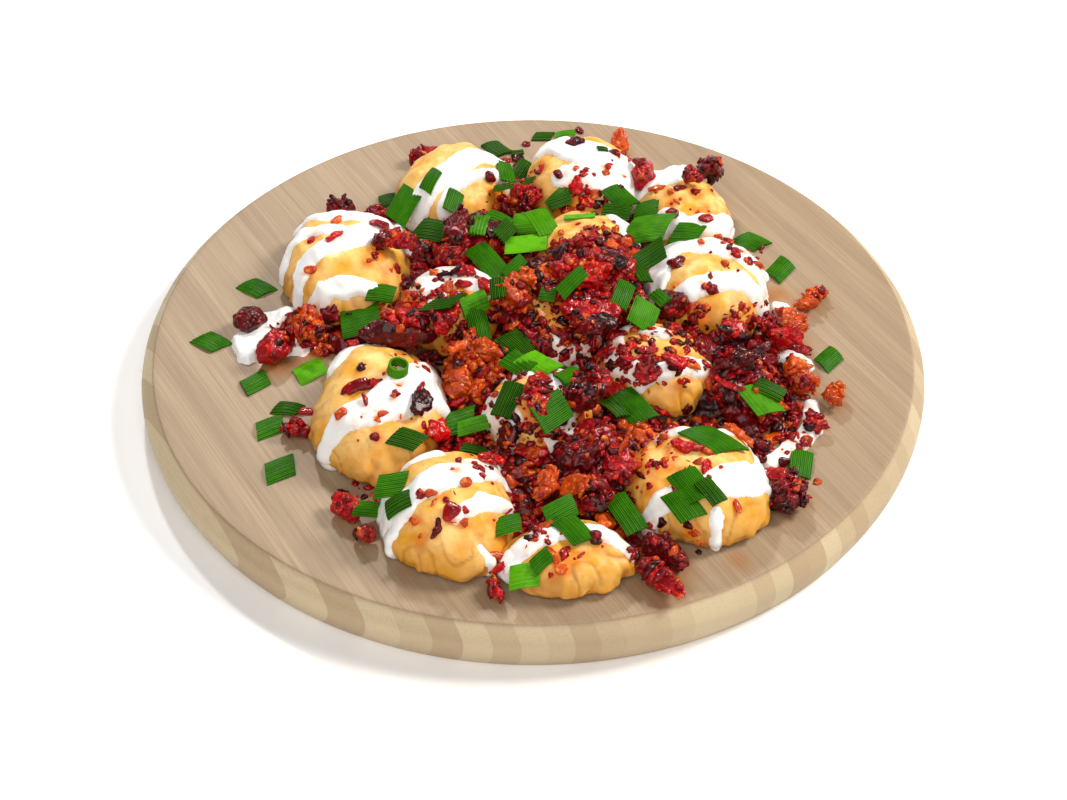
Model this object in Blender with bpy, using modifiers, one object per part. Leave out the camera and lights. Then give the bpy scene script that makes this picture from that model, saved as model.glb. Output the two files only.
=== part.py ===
"""A plate of pierogi: baked dumplings heaped with fried bacon on a round wooden board.

Frame: metres, +Z up, origin at the centre of the board's underside.
-Y is the near side of the board, +X its right-hand side.
"""
import math

import bmesh
import bpy
from mathutils import Euler, Matrix, Vector, noise
from mathutils.bvhtree import BVHTree

MM = 0.001
TOUCH_GAP = 0.3 * MM             # clear space kept between two pieces that touch

# ---- Board ------------------------------------------------------------------
BOARD_RADIUS = 160 * MM          # at the widest, a little below the top
BOARD_TOP_RADIUS = 153.7 * MM
BOARD_BOTTOM_RADIUS = 156.2 * MM
BOARD_THICKNESS = 20.5 * MM
BOARD_BULGE_DEPTH = 8 * MM       # from the top face down to the widest ring
BOARD_SIDES = 64
TOP = BOARD_THICKNESS + TOUCH_GAP

# ---- Dumplings --------------------------------------------------------------
# name: (x, y, half length, half width, height, heading in degrees), sizes in mm.
# The half length lies along the heading, which turns anticlockwise from +X.
DUMPLINGS = {
    "dumpling_back_left": (-35, 90.5, 27.5, 23.5, 22.5, 62),
    "dumpling_back": (22, 96, 26, 24.5, 23, 100),
    "dumpling_back_right": (66.5, 72.5, 24, 18.5, 20, -68),
    "dumpling_left": (-78, 36, 31, 26.5, 25.5, -78),
    "dumpling_right": (71, 20, 27, 25, 25, -86),
    "dumpling_centre_back": (22, 44, 23, 22, 24, 0),
    "dumpling_front_left": (-59, -52, 32, 25.5, 26, -92),
    "dumpling_inner_right": (49, -27, 23, 20.5, 22, -20),
    "dumpling_front": (-31, -106, 27, 24, 25, -80),
    "dumpling_small_front": (12, -128, 23.5, 16, 15, 8),
    "dumpling_front_right": (61, -93, 27, 25.5, 24, -10),
    "dumpling_inner_front": (2, -56, 21, 20, 25, 20),
    "dumpling_inner_left": (-32, 8, 22, 21, 22, 70),
    "dumpling_middle": (9, -5, 20, 19, 24, 30),
}
# A pinched corner sticks out of the seam: (bearing from the centre, reach in mm)
CORNERS = {
    "dumpling_front": [(-66, 8), (-140, 3)],
    "dumpling_front_right": [(-32, 5), (-125, 2)],
    "dumpling_front_left": [(-93, 6), (195, 2.5)],
    "dumpling_left": [(130, 4), (-80, 4)],
    "dumpling_right": [(-62, 4), (60, 2)],
    "dumpling_small_front": [(4, 3), (186, 3)],
    "dumpling_inner_right": [(-72, 3)],
    "dumpling_back": [(75, 2)],
}
CORNER_WIDTH = math.radians(11)
SEAM_HEIGHT = 3.6 * MM           # the pressed edge lies this high over the board
OUTLINE_POWER = 2.35             # 2 is an ellipse, more is squarer
DUMPLING_SEGMENTS = 20
DUMPLING_RINGS = 9

# ---- Heaps of fried bacon between and over the dumplings ---------------------
# name: (x, y, half length, half width, height over the board, heading)
HEAPS = {
    "bacon_heap_middle": (23, 14, 29, 22, 33, 60),
    "bacon_heap_front": (22, -89, 20, 14, 23, 85),
    "bacon_heap_right": (80, -34, 19, 13, 18, 100),
    "bacon_heap_back_left": (-25, 46, 19, 16, 24, 20),
    "bacon_heap_inner": (-24, -37, 17, 11, 26, 80),
}
HEAP_FOOT_SINK = 6 * MM          # the heap's round underside is cut this far up

# ---- Larger single pieces of bacon -------------------------------------------
# name: (x, y, length, width, height, heading); each one comes to rest on what
# lies under it.
BACON = {
    "bacon_left_dark": (-115.5, 6.5, 13, 11, 9, 20),
    "bacon_left_red": (-104, -13, 18, 14, 10, 60),
    "bacon_left_orange": (-91, -5, 18, 13, 9, -50),
    "bacon_left_small": (-92.5, -57, 10, 9, 8, 30),
    "bacon_left_crown": (-57.5, 32, 19, 11, 7, -15),
    "bacon_front_left_red": (-70, -101, 13, 10, 9, -40),
    "bacon_front_left_small": (-61, -115.5, 11, 7, 7, -10),
    "bacon_behind_left_dark": (-83, 80, 14, 11, 11, 15),
    "bacon_behind_left_red": (-66.5, 77, 17, 9, 8, -10),
    "bacon_back_left": (-48, 121, 14, 10, 9, 30),
    "bacon_back_low": (-3, 79, 13, 11, 10, -20),
    "bacon_back_orange": (39, 126, 12, 8, 14, 80),
    "bacon_back_curl": (47.5, 90, 17, 9, 12, 75),
    "bacon_back_right_dark": (77, 89, 14, 12, 11, 50),
    "bacon_back_right_red": (68, 78, 12, 7, 7, 25),
    "bacon_inner_dark": (-31, 38.5, 15, 10, 9, 70),
    "bacon_right_dark": (56, -2, 13, 12, 12, 10),
    "bacon_right_foot": (79.5, -11, 13, 9, 8, 50),
    "bacon_far_right_orange": (116, 21, 20, 9, 7, 55),
    "bacon_far_right_knob": (119.5, -39.5, 12, 9, 8, 80),
    "bacon_far_right_red": (109, -54, 11, 9, 8, -40),
    "bacon_right_pair_dark": (98.5, -2, 13, 10, 9, 20),
    "bacon_right_pair_orange": (106, -6, 16, 11, 9, 70),
    "bacon_right_orange": (106.5, -28.5, 13, 10, 9, 80),
    "bacon_right_front_dark": (96.5, -95, 20, 13, 11, 60),
    "bacon_front_black": (48, -125, 20, 10, 10, -30),
    "bacon_front_red": (46, -138, 20, 10, 9, -50),
    "bacon_front_gap": (-13.5, -142, 13, 7, 7, -65),
    "bacon_wrinkled": (-51.5, -23, 30, 11, 10, -8),
    "bacon_inner_left_fold": (-48.5, -9, 16, 13, 9, -50),
    "bacon_inner_left_red": (-35, -19, 20, 11, 8, 75),
    "bacon_centre_orange": (-8, 3, 19, 13, 9, 70),
    "bacon_centre_oval": (2, -65, 23, 10, 8, 92),
    "bacon_centre_black": (20, -62, 15, 14, 12, 60),
    "bacon_middle_slab": (22, -13, 25, 20, 9, 35),
    "bacon_middle_black": (12, -29, 13, 10, 9, -35),
    "bacon_front_orange": (5, -102, 21, 9, 8, 70),
}
REST_GAP = 0.6 * MM              # pieces rest this far clear, so no facets meet
BUMP_SIZE = 5.5 * MM             # spacing of the knobs on a fried piece


def empty_scene():
    """Remove every object and leftover mesh from the open file."""
    for obj in list(bpy.data.objects):
        bpy.data.objects.remove(obj, do_unlink=True)


def material(name, colour, roughness):
    """A plain Principled material; colours are linear RGB."""
    mat = bpy.data.materials.new(name)
    mat.use_nodes = True
    shader = mat.node_tree.nodes["Principled BSDF"]
    shader.inputs["Base Color"].default_value = (*colour, 1)
    shader.inputs["Roughness"].default_value = roughness
    return mat


def add_object(name, mesh, mat, collection):
    """Put a finished mesh into the scene as one named sub-part."""
    obj = bpy.data.objects.new(name, mesh)
    mesh.materials.clear()
    mesh.materials.append(mat)
    collection.objects.link(obj)
    return obj


def mesh_from(bm, name):
    """Turn a bmesh into a smooth-shaded mesh with outward faces."""
    bmesh.ops.recalc_face_normals(bm, faces=bm.faces)
    mesh = bpy.data.meshes.new(name)
    bm.to_mesh(mesh)
    bm.free()
    mesh.shade_smooth()
    return mesh


# ---- Board --------------------------------------------------------------------
def board_radius(depth):
    """Radius of the board's side at a depth below the top face.

    Two parabolas meet upright at the widest ring: a tight one above, a slow
    one below.
    """
    if depth < BOARD_BULGE_DEPTH:
        share = 1 - depth / BOARD_BULGE_DEPTH
        edge = BOARD_TOP_RADIUS
    else:
        share = (depth - BOARD_BULGE_DEPTH) / (BOARD_THICKNESS - BOARD_BULGE_DEPTH)
        edge = BOARD_BOTTOM_RADIUS
    return BOARD_RADIUS - (BOARD_RADIUS - edge) * share ** 2


def make_board(mat, collection):
    """The board is turned: its half outline is screwed once round the Z axis."""
    depths = [0, 0.18, 0.45, 1]
    depths = [share * BOARD_BULGE_DEPTH for share in depths]
    steps = 3
    for i in range(1, steps + 1):
        depths.append(BOARD_BULGE_DEPTH + (BOARD_THICKNESS - BOARD_BULGE_DEPTH) * i / steps)
    outline = [Vector((0, 0, BOARD_THICKNESS))]
    outline += [Vector((board_radius(d), 0, BOARD_THICKNESS - d)) for d in depths]
    outline.append(Vector((0, 0, 0)))
    edges = [(i, i + 1) for i in range(len(outline) - 1)]
    mesh = bpy.data.meshes.new("board")
    mesh.from_pydata(outline, edges, [])
    board = add_object("board", mesh, mat, collection)
    screw = board.modifiers.new("Turned", "SCREW")
    screw.axis = "Z"
    screw.steps = BOARD_SIDES
    screw.render_steps = BOARD_SIDES
    screw.use_merge_vertices = True
    screw.merge_threshold = 0.00005
    return board


# ---- Dumplings ------------------------------------------------------------------
def angle_between(a, b):
    """Smallest turn from one bearing to another, in radians."""
    return (a - b + math.pi) % (2 * math.pi) - math.pi


def outline_radius(bearing, half_length, half_width, phase):
    """Rounded-square outline of the filled part, with a slow hand-made wobble."""
    along = abs(math.cos(bearing) / half_length) ** OUTLINE_POWER
    across = abs(math.sin(bearing) / half_width) ** OUTLINE_POWER
    radius = (along + across) ** (-1 / OUTLINE_POWER)
    wobble = 0.025 * math.sin(3 * bearing + phase) + 0.015 * math.sin(5 * bearing + 2 * phase)
    return radius * (1 + wobble)


def corner_reach(bearing, corners):
    """How far the pinched corners push the seam out at this bearing."""
    reach = 0
    for corner, size in corners:
        turn = angle_between(bearing, math.radians(corner)) / CORNER_WIDTH
        reach += size * MM * math.exp(-turn * turn)
    return reach


def dumpling_mesh(name, index):
    """A stuffed pouch: a sphere reshaped to a high dome over a thin pressed seam.

    The upper half of the sphere becomes the dome. The lower half closes under
    the seam to a flat foot, so the seam stands just clear of the board.
    """
    x, y, half_length, half_width, height, heading = DUMPLINGS[name]
    turn = math.radians(heading)
    phase = 1.7 * index
    bm = bmesh.new()
    bmesh.ops.create_uvsphere(
        bm, u_segments=DUMPLING_SEGMENTS, v_segments=DUMPLING_RINGS, radius=1)
    for vert in bm.verts:
        level = vert.co.z
        out = math.hypot(vert.co.x, vert.co.y)
        bearing = math.atan2(vert.co.y, vert.co.x)
        radius = outline_radius(bearing - turn, half_length * MM, half_width * MM, phase)
        reach = corner_reach(bearing, CORNERS.get(name, []))
        if level >= 0:
            spread = out ** 0.85 * radius + out ** 10 * reach
            z = SEAM_HEIGHT + (height * MM - SEAM_HEIGHT) * level ** 0.9
            dent = 0.04 * math.sin(2 * bearing + phase) * out * level
            z *= 1 + dent
        else:
            spread = out ** 0.6 * radius * 0.985 + out ** 10 * reach
            z = SEAM_HEIGHT * (1 - min(1, -1.6 * level))
        vert.co = Vector((x * MM + spread * math.cos(bearing),
                          y * MM + spread * math.sin(bearing),
                          TOP + z))
    return mesh_from(bm, name)


# ---- Fried bacon ---------------------------------------------------------------
def knobbly_ball(half_sizes, heading, seed, subdivisions, roughness):
    """A lumpy pebble: an icosphere pushed in and out by smooth noise."""
    bm = bmesh.new()
    bmesh.ops.create_icosphere(bm, subdivisions=subdivisions, radius=1)
    offset = Vector((seed * 3.1, seed * 1.7, seed * 2.3))
    for vert in bm.verts:
        place = Vector([c * s for c, s in zip(vert.co, half_sizes)])
        push = noise.noise(place / BUMP_SIZE + offset)
        vert.co = place * (1 + roughness * push)
    turn = Euler((0, 0, math.radians(heading))).to_matrix().to_4x4()
    bmesh.ops.transform(bm, matrix=turn, verts=bm.verts)
    return bm


def tree_of(objects):
    """One search tree and all the points of the meshes that lie in place."""
    points = []
    faces = []
    for obj in objects:
        start = len(points)
        points += [vert.co.copy() for vert in obj.data.vertices]
        faces += [[start + i for i in face.vertices] for face in obj.data.polygons]
    return BVHTree.FromPolygons(points, faces), points


def drop_height(bm, supports):
    """How far a piece held above everything falls before it touches."""
    below, points = tree_of(supports)
    fall = min(vert.co.z for vert in bm.verts) - TOP
    for vert in bm.verts:
        hit = below.ray_cast(vert.co, Vector((0, 0, -1)))
        if hit[0] is not None:
            fall = min(fall, hit[3] - REST_GAP)
    piece = BVHTree.FromBMesh(bm)
    for point in points:
        hit = piece.ray_cast(point, Vector((0, 0, 1)))
        if hit[0] is not None:
            fall = min(fall, hit[3] - REST_GAP)
    return fall


def make_bacon(name, index, supports, mat, collection):
    """One large piece, dropped straight down until it rests on the food or board."""
    x, y, length, width, height, heading = BACON[name]
    half_sizes = (length / 2 * MM, width / 2 * MM, height / 2 * MM)
    bm = knobbly_ball(half_sizes, heading, index + 1, 2, 0.55)
    start = Matrix.Translation((x * MM, y * MM, 0.1))
    bmesh.ops.transform(bm, matrix=start, verts=bm.verts)
    fall = drop_height(bm, supports)
    bmesh.ops.translate(bm, vec=(0, 0, -fall), verts=bm.verts)
    return add_object(name, mesh_from(bm, name), mat, collection)


def swollen_copy(obj, mat, cutters):
    """A cutter: the dumpling grown outward by the clear gap all round."""
    bm = bmesh.new()
    bm.from_mesh(obj.data)
    bm.normal_update()
    for vert in bm.verts:
        vert.co += vert.normal * 1.6 * TOUCH_GAP
    cutter = add_object("cut_" + obj.name, mesh_from(bm, "cut_" + obj.name), mat, cutters)
    cutter.hide_render = True
    cutter.display_type = "WIRE"
    return cutter


def keep_largest_body(mesh):
    """Delete every loose island but the one with the most faces."""
    bm = bmesh.new()
    bm.from_mesh(mesh)
    unseen = set(bm.verts)
    islands = []
    while unseen:
        stack = [unseen.pop()]
        island = set(stack)
        while stack:
            vert = stack.pop()
            for edge in vert.link_edges:
                other = edge.other_vert(vert)
                if other in unseen:
                    unseen.discard(other)
                    island.add(other)
                    stack.append(other)
        islands.append(island)
    islands.sort(key=len)
    for island in islands[:-1]:
        bmesh.ops.delete(bm, geom=list(island), context="VERTS")
    bm.to_mesh(mesh)
    bm.free()


def make_heap(name, index, cutters, mat, collection):
    """A heap of crumbled bacon: a lumpy mound cut to fit round the dumplings."""
    x, y, half_length, half_width, height, heading = HEAPS[name]
    mound_height = height * MM + HEAP_FOOT_SINK
    half_sizes = (half_length * MM, half_width * MM, mound_height / 2)
    bm = knobbly_ball(half_sizes, heading, index + 40, 3, 0.22)
    for vert in bm.verts:
        z = vert.co.z + mound_height / 2 - HEAP_FOOT_SINK
        vert.co = Vector((vert.co.x + x * MM, vert.co.y + y * MM, TOP + max(z, 0)))
    bmesh.ops.dissolve_limit(bm, angle_limit=0.001, verts=bm.verts, edges=bm.edges)
    bmesh.ops.triangulate(bm, faces=bm.faces)
    heap = add_object(name, mesh_from(bm, name), mat, collection)
    for cutter in cutters:
        cut = heap.modifiers.new("Clear of " + cutter.name, "BOOLEAN")
        cut.operation = "DIFFERENCE"
        cut.object = cutter
    bpy.context.view_layer.update()
    evaluated = heap.evaluated_get(bpy.context.evaluated_depsgraph_get())
    mesh = bpy.data.meshes.new_from_object(evaluated)
    heap.modifiers.clear()
    heap.data = mesh
    keep_largest_body(mesh)
    return heap


def near(name, table, centre, reach):
    """True where a listed item comes within reach of a centre, in mm."""
    x, y = table[name][:2]
    return math.hypot(x - centre[0], y - centre[1]) < reach


def main():
    empty_scene()
    collection = bpy.data.collections.new("pierogi_dumplings")
    bpy.context.scene.collection.children.link(collection)
    cutters = bpy.data.collections.new("cutters")
    bpy.context.scene.collection.children.link(cutters)
    wood = material("board_wood", (0.55, 0.40, 0.25), 0.55)
    dough = material("baked_dough", (0.90, 0.52, 0.20), 0.45)
    bacon = material("fried_bacon", (0.42, 0.02, 0.01), 0.35)

    make_board(wood, collection)
    dumplings = []
    for index, name in enumerate(DUMPLINGS):
        dumplings.append(add_object(name, dumpling_mesh(name, index), dough, collection))
    grown = {obj.name: swollen_copy(obj, dough, cutters) for obj in dumplings}
    lying = list(dumplings)
    for index, name in enumerate(HEAPS):
        centre = HEAPS[name][:2]
        close = [grown[item] for item in DUMPLINGS if near(item, DUMPLINGS, centre, 62)]
        lying.append(make_heap(name, index, close, bacon, collection))
    for index, name in enumerate(BACON):
        lying.append(make_bacon(name, index, lying, bacon, collection))


main()
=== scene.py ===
# %% [markdown]
# # Baked dumplings with fried bacon on a round wooden board
#
# Fourteen small pierogi lie in a ring and a heap on a turned wooden board. They are
# striped with sour cream and covered with fried bacon, bacon crumbs and cut spring
# onion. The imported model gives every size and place. This script adds the looks.

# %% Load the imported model
import math
import random

import bmesh
import bpy
import numpy as np
from mathutils import Matrix, Vector, geometry, noise
from mathutils.bvhtree import BVHTree
from mathutils.kdtree import KDTree


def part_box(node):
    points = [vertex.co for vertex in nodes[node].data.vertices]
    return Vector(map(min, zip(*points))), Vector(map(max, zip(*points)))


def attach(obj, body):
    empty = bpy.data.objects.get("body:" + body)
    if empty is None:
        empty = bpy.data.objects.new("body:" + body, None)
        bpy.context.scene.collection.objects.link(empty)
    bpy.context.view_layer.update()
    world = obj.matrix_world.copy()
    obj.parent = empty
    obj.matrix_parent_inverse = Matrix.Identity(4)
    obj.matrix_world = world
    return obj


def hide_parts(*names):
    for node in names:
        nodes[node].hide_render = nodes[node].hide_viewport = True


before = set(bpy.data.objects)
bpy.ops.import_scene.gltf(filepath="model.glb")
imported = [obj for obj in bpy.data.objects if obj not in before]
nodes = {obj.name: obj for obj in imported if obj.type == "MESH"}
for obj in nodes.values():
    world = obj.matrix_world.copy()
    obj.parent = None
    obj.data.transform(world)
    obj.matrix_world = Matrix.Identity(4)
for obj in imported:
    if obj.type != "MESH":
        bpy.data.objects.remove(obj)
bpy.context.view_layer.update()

MM = 0.001
dumpling_names = sorted(name for name in nodes if name.startswith("dumpling_"))
heap_names = sorted(name for name in nodes if name.startswith("bacon_heap_"))
board_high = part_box("board")[1]
BOARD_TOP = board_high.z
FOOD_LEVEL = BOARD_TOP + 0.3 * MM
print(len(nodes), "nodes,", len(dumpling_names), "dumplings,", len(heap_names), "heaps")

# %% [markdown]
# ## The camera
# A plate of food is best seen from a seat at the table, so the camera looks down at
# about 43 degrees through a fairly long lens. It comes first, because the small
# toppings are placed along its lines of sight, as a cook dresses a plate.

# %% Camera
CAMERA_PITCH = math.radians(42.747)
CAMERA_PLACE = Vector((0, -649.5 * MM, 565.78 * MM + FOOD_LEVEL))
LENS = 70.85  # mm, on a sensor 36 mm wide
SENSOR_WIDTH = 36
SIDE_SHIFT = 0.00037
camera_data = bpy.data.cameras.new("seat_at_the_table")
camera_data.lens = LENS
camera_data.sensor_width = SENSOR_WIDTH
camera_data.shift_x = SIDE_SHIFT
camera = bpy.data.objects.new("seat_at_the_table", camera_data)
camera.location = CAMERA_PLACE
camera.rotation_euler = (math.pi / 2 - CAMERA_PITCH, 0, 0)
bpy.context.scene.collection.objects.link(camera)
bpy.context.scene.camera = camera
print("camera stands", round(CAMERA_PLACE.length / MM), "mm from the plate")

# %% [markdown]
# ## Small tools
# Colours are written as sRGB hex values, as in a paint chart. Blender's shaders work
# with linear light, so one function turns them. Another function adds a shader node
# with its settings and its links.

# %% Colour and node helpers
def linear(hex_colour):
    """An sRGB hex colour as the linear RGBA that a shader socket takes."""
    parts = [int(hex_colour[i:i + 2], 16) / 255 for i in (0, 2, 4)]
    return [p / 12.92 if p <= 0.04045 else ((p + 0.055) / 1.055) ** 2.4 for p in parts] + [1]


def add_node(tree, kind, settings={}, inputs={}):
    """A new node: its properties by name, its sockets by name or number."""
    node = tree.nodes.new(kind)
    for name, value in settings.items():
        setattr(node, name, value)
    for socket, value in inputs.items():
        if isinstance(value, bpy.types.NodeSocket):
            tree.links.new(value, node.inputs[socket])
        else:
            node.inputs[socket].default_value = value
    return node


# the sockets of a Mix node that mixes colours, by number
MIX_FACTOR, MIX_A, MIX_B, MIX_RESULT = 0, 6, 7, 2


def new_material(name, **constants):
    """A Principled material whose constant values sit on the shader's own sockets."""
    material = bpy.data.materials.new(name)
    material.use_nodes = True
    shader = material.node_tree.nodes["Principled BSDF"]
    for socket, value in constants.items():
        shader.inputs[socket.replace("_", " ")].default_value = value
    return material, material.node_tree, shader


print("mid grey in linear light:", round(linear("808080")[0], 3))

# %% [markdown]
# Meshes are shaped with numpy, because a dense surface has tens of thousands of
# points. These helpers read and write a mesh's points, run modifiers on a mesh,
# and turn a finished mesh into a piece that rides on the model's one body.

# %% Mesh helpers
MERGE = 0.01 * MM


def points_of(mesh):
    """The mesh's points as rows of x, y and z."""
    points = np.empty(len(mesh.vertices) * 3)
    mesh.vertices.foreach_get("co", points)
    return points.reshape(-1, 3)


def normals_of(mesh):
    """The way each point of the mesh faces."""
    normals = np.empty(len(mesh.vertices) * 3)
    mesh.vertex_normals.foreach_get("vector", normals)
    return normals.reshape(-1, 3)


def set_points(mesh, points):
    """Moves the mesh's points to new places."""
    mesh.vertices.foreach_set("co", points.astype(np.float32).ravel())
    mesh.update()


def give_attribute(mesh, name, values):
    """A number at each point, for the material to read."""
    attribute = mesh.attributes.new(name, "FLOAT", "POINT")
    attribute.data.foreach_set("value", np.asarray(values, np.float32))


def mesh_from(work, name):
    """A bmesh as a mesh of its own."""
    mesh = bpy.data.meshes.new(name)
    work.to_mesh(mesh)
    work.free()
    return mesh


def with_modifiers(mesh, *modifiers):
    """The mesh after a stack of (kind, settings) modifiers."""
    obj = bpy.data.objects.new("work", mesh)
    bpy.context.scene.collection.objects.link(obj)
    for kind, settings in modifiers:
        modifier = obj.modifiers.new(kind, kind)
        for name, value in settings.items():
            setattr(modifier, name, value)
    graph = bpy.context.evaluated_depsgraph_get()
    result = bpy.data.meshes.new_from_object(obj.evaluated_get(graph))
    bpy.data.objects.remove(obj)
    return result


def thickened(mesh, thickness):
    """The mesh as a shell that grows inwards from its own faces."""
    return with_modifiers(mesh, ("SOLIDIFY", {"thickness": thickness, "offset": -1}))


def triangle_count(mesh):
    """How many triangles the mesh has once its faces are split."""
    return sum(len(face.vertices) - 2 for face in mesh.polygons)


def finish_piece(name, mesh, material, replaced=()):
    """Links the piece, shades it smooth and lets it ride on the body."""
    mesh.name = name
    mesh.materials.clear()
    mesh.materials.append(material)
    mesh.shade_smooth()
    piece = bpy.data.objects.new(name, mesh)
    bpy.context.scene.collection.objects.link(piece)
    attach(piece, "root")
    if replaced:
        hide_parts(*replaced)
    print(f"{name}: {triangle_count(mesh)} triangles")
    return piece


def joined(meshes):
    """One mesh out of several, with their shared point attributes kept."""
    objects = []
    for mesh in meshes:
        obj = bpy.data.objects.new("part", mesh)
        bpy.context.scene.collection.objects.link(obj)
        objects.append(obj)
    with bpy.context.temp_override(active_object=objects[0], object=objects[0],
                                   selected_objects=objects,
                                   selected_editable_objects=objects):
        bpy.ops.object.join()
    mesh = objects[0].data
    bpy.data.objects.remove(objects[0])
    return mesh


print("points closer than", MERGE / MM, "mm are merged")

# %% [markdown]
# ## The wooden board
# A board like this is glued up from staves about a centimetre wide and turned on a
# lathe, so its outline is a profile spun about the middle. A Screw modifier does the
# same. The profile has a point every 2 mm along the top, which gives enough rings to
# paint fat stains and contact shade on the wood around the food.

# %% Board: profile and spin
BOARD_RADIUS = board_high.x
BOARD_TOP_RADIUS = 153.7 * MM
BOARD_BOTTOM_RADIUS = 156.2 * MM
BOARD_BULGE_DEPTH = 8 * MM
BOARD_EDGE_ROUND = 0.8 * MM
BOARD_STEPS = 256
RING_SPACING = 2 * MM
EDGE_STEPS = 5
RIM_STEPS = 18
UNDERSIDE_STEPS = 12


def board_radius(depth):
    """The rim swells to its widest a little below the top, then draws in."""
    if depth <= BOARD_BULGE_DEPTH:
        share = 1 - depth / BOARD_BULGE_DEPTH
        return BOARD_RADIUS - (BOARD_RADIUS - BOARD_TOP_RADIUS) * share ** 2
    share = (depth - BOARD_BULGE_DEPTH) / (BOARD_TOP - BOARD_BULGE_DEPTH)
    return BOARD_RADIUS - (BOARD_RADIUS - BOARD_BOTTOM_RADIUS) * share ** 2


def turned_board():
    """The spun profile: centre, top, rounded rim, underside, centre."""
    edge = BOARD_EDGE_ROUND
    rings = np.arange(0, BOARD_TOP_RADIUS - edge, RING_SPACING)
    profile = [(r, BOARD_TOP) for r in rings]
    centre = board_radius(edge) - edge
    for angle in np.linspace(0, math.pi / 2, EDGE_STEPS):
        profile.append((centre + edge * math.sin(angle),
                        BOARD_TOP - edge + edge * math.cos(angle)))
    for depth in np.linspace(edge, BOARD_TOP - edge, RIM_STEPS)[1:]:
        profile.append((board_radius(depth), BOARD_TOP - depth))
    centre = board_radius(BOARD_TOP - edge) - edge
    for angle in np.linspace(0, math.pi / 2, EDGE_STEPS)[1:]:
        profile.append((centre + edge * math.cos(angle), edge - edge * math.sin(angle)))
    underside = np.linspace(BOARD_BOTTOM_RADIUS - edge, 0, UNDERSIDE_STEPS)
    profile += [(r, 0) for r in underside[1:]]
    mesh = bpy.data.meshes.new("profile")
    edges = [(i, i + 1) for i in range(len(profile) - 1)]
    mesh.from_pydata([(r, 0, z) for r, z in profile], edges, [])
    spin = {"steps": BOARD_STEPS, "render_steps": BOARD_STEPS, "axis": "Z",
            "use_merge_vertices": True, "merge_threshold": MERGE}
    spun = with_modifiers(mesh, ("SCREW", spin))
    work = bmesh.new()
    work.from_mesh(spun)
    bmesh.ops.remove_doubles(work, verts=work.verts, dist=MERGE)
    bmesh.ops.recalc_face_normals(work, faces=work.faces)
    work.to_mesh(spun)
    work.free()
    return spun


board_mesh = turned_board()
print("board:", len(board_mesh.vertices), "points")

# %% [markdown]
# Fat runs out of the bacon and soaks in, so the board is darker and warmer close to it.
# Each bacon piece leaves a soft round halo, part fat stain and part painted contact
# shade, and some bare spots between them are stained too. The sum is kept as an
# attribute for the wood to read.

# %% Board: fat stains and painted contact shade
# x, y, reach and strength of the stains that no piece covers, in mm
GREASE_SPOTS = [
    (100, 28, 8, 0.9), (95, -56, 8, 0.8), (-104, -16, 7, 0.7), (-86, -8, 6, 0.7),
    (-52, 62, 6, 0.8), (-96, -2, 8, 0.6), (88, -78, 7, 0.5), (100, -68, 7, 0.5),
    (104, -20, 9, 0.6), (-46, -128, 6, 0.4), (-88, -46, 5, 0.5), (76, -124, 7, 0.5),
    (-72, 72, 7, 0.5), (-66, -96, 6, 0.4), (96, 45, 6, 0.5), (-95, -52, 5, 0.3),
]
# a piece's halo is part fat stain and part painted contact shade
PIECE_STAIN_AND_SHADE = 0.45  # how strongly a bacon piece stains the wood round it
PIECE_REACH = 0.55  # how far, as a share of the piece's size


def grease_and_shade_on(points):
    """How much fat stain and painted contact shade each point of the wood takes, from 0 to 1."""
    grease_and_shade = np.zeros(len(points))
    spots = [(x * MM, y * MM, r * MM, s) for x, y, r, s in GREASE_SPOTS]
    # painted contact shade: each bacon piece's halo darkens the wood as well as staining it
    for name in nodes:
        if name.startswith("bacon_"):
            low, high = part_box(name)
            spots.append(((low.x + high.x) / 2, (low.y + high.y) / 2,
                          (high - low).length * PIECE_REACH, PIECE_STAIN_AND_SHADE))
    for x, y, reach, strength in spots:
        away = np.hypot(points[:, 0] - x, points[:, 1] - y) / reach
        grease_and_shade += strength * np.exp(-away ** 2 * 1.5)
    ragged = np.array([noise.noise(Vector(p) / (6 * MM)) for p in points])
    grease_and_shade *= 1 + 0.5 * ragged
    grease_and_shade[points[:, 2] < BOARD_TOP - 1 * MM] *= 0.2
    return np.clip(grease_and_shade, 0, 1)


board_grease_and_shade = grease_and_shade_on(points_of(board_mesh))
give_attribute(board_mesh, "grease_and_shade", board_grease_and_shade)
print("greasy share of the board:", round(float(np.mean(board_grease_and_shade > 0.3)), 2))

# %% [markdown]
# The wood is pale, straight-grained and only lightly oiled. Its grain runs slantwise
# over the board. The pattern is one solid block of noise stretched along the grain,
# so the rim shows long lines where it is cut along the fibres and short specks where
# it is cut across them, as real end grain does. Each stave has its own tone. The
# turned rim is paler and more open-pored than the top, which use has darkened. Fat
# stains and the painted contact shade round the bacon pieces turn the wood
# orange-brown and make it shine.

# %% Board: wood
GRAIN_BEARING = math.radians(-59)
STAVE_WIDTH = 8.5 * MM
FIBRE_WIDTH = 0.5 * MM
FIBRE_LENGTH = 40 * MM


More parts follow.
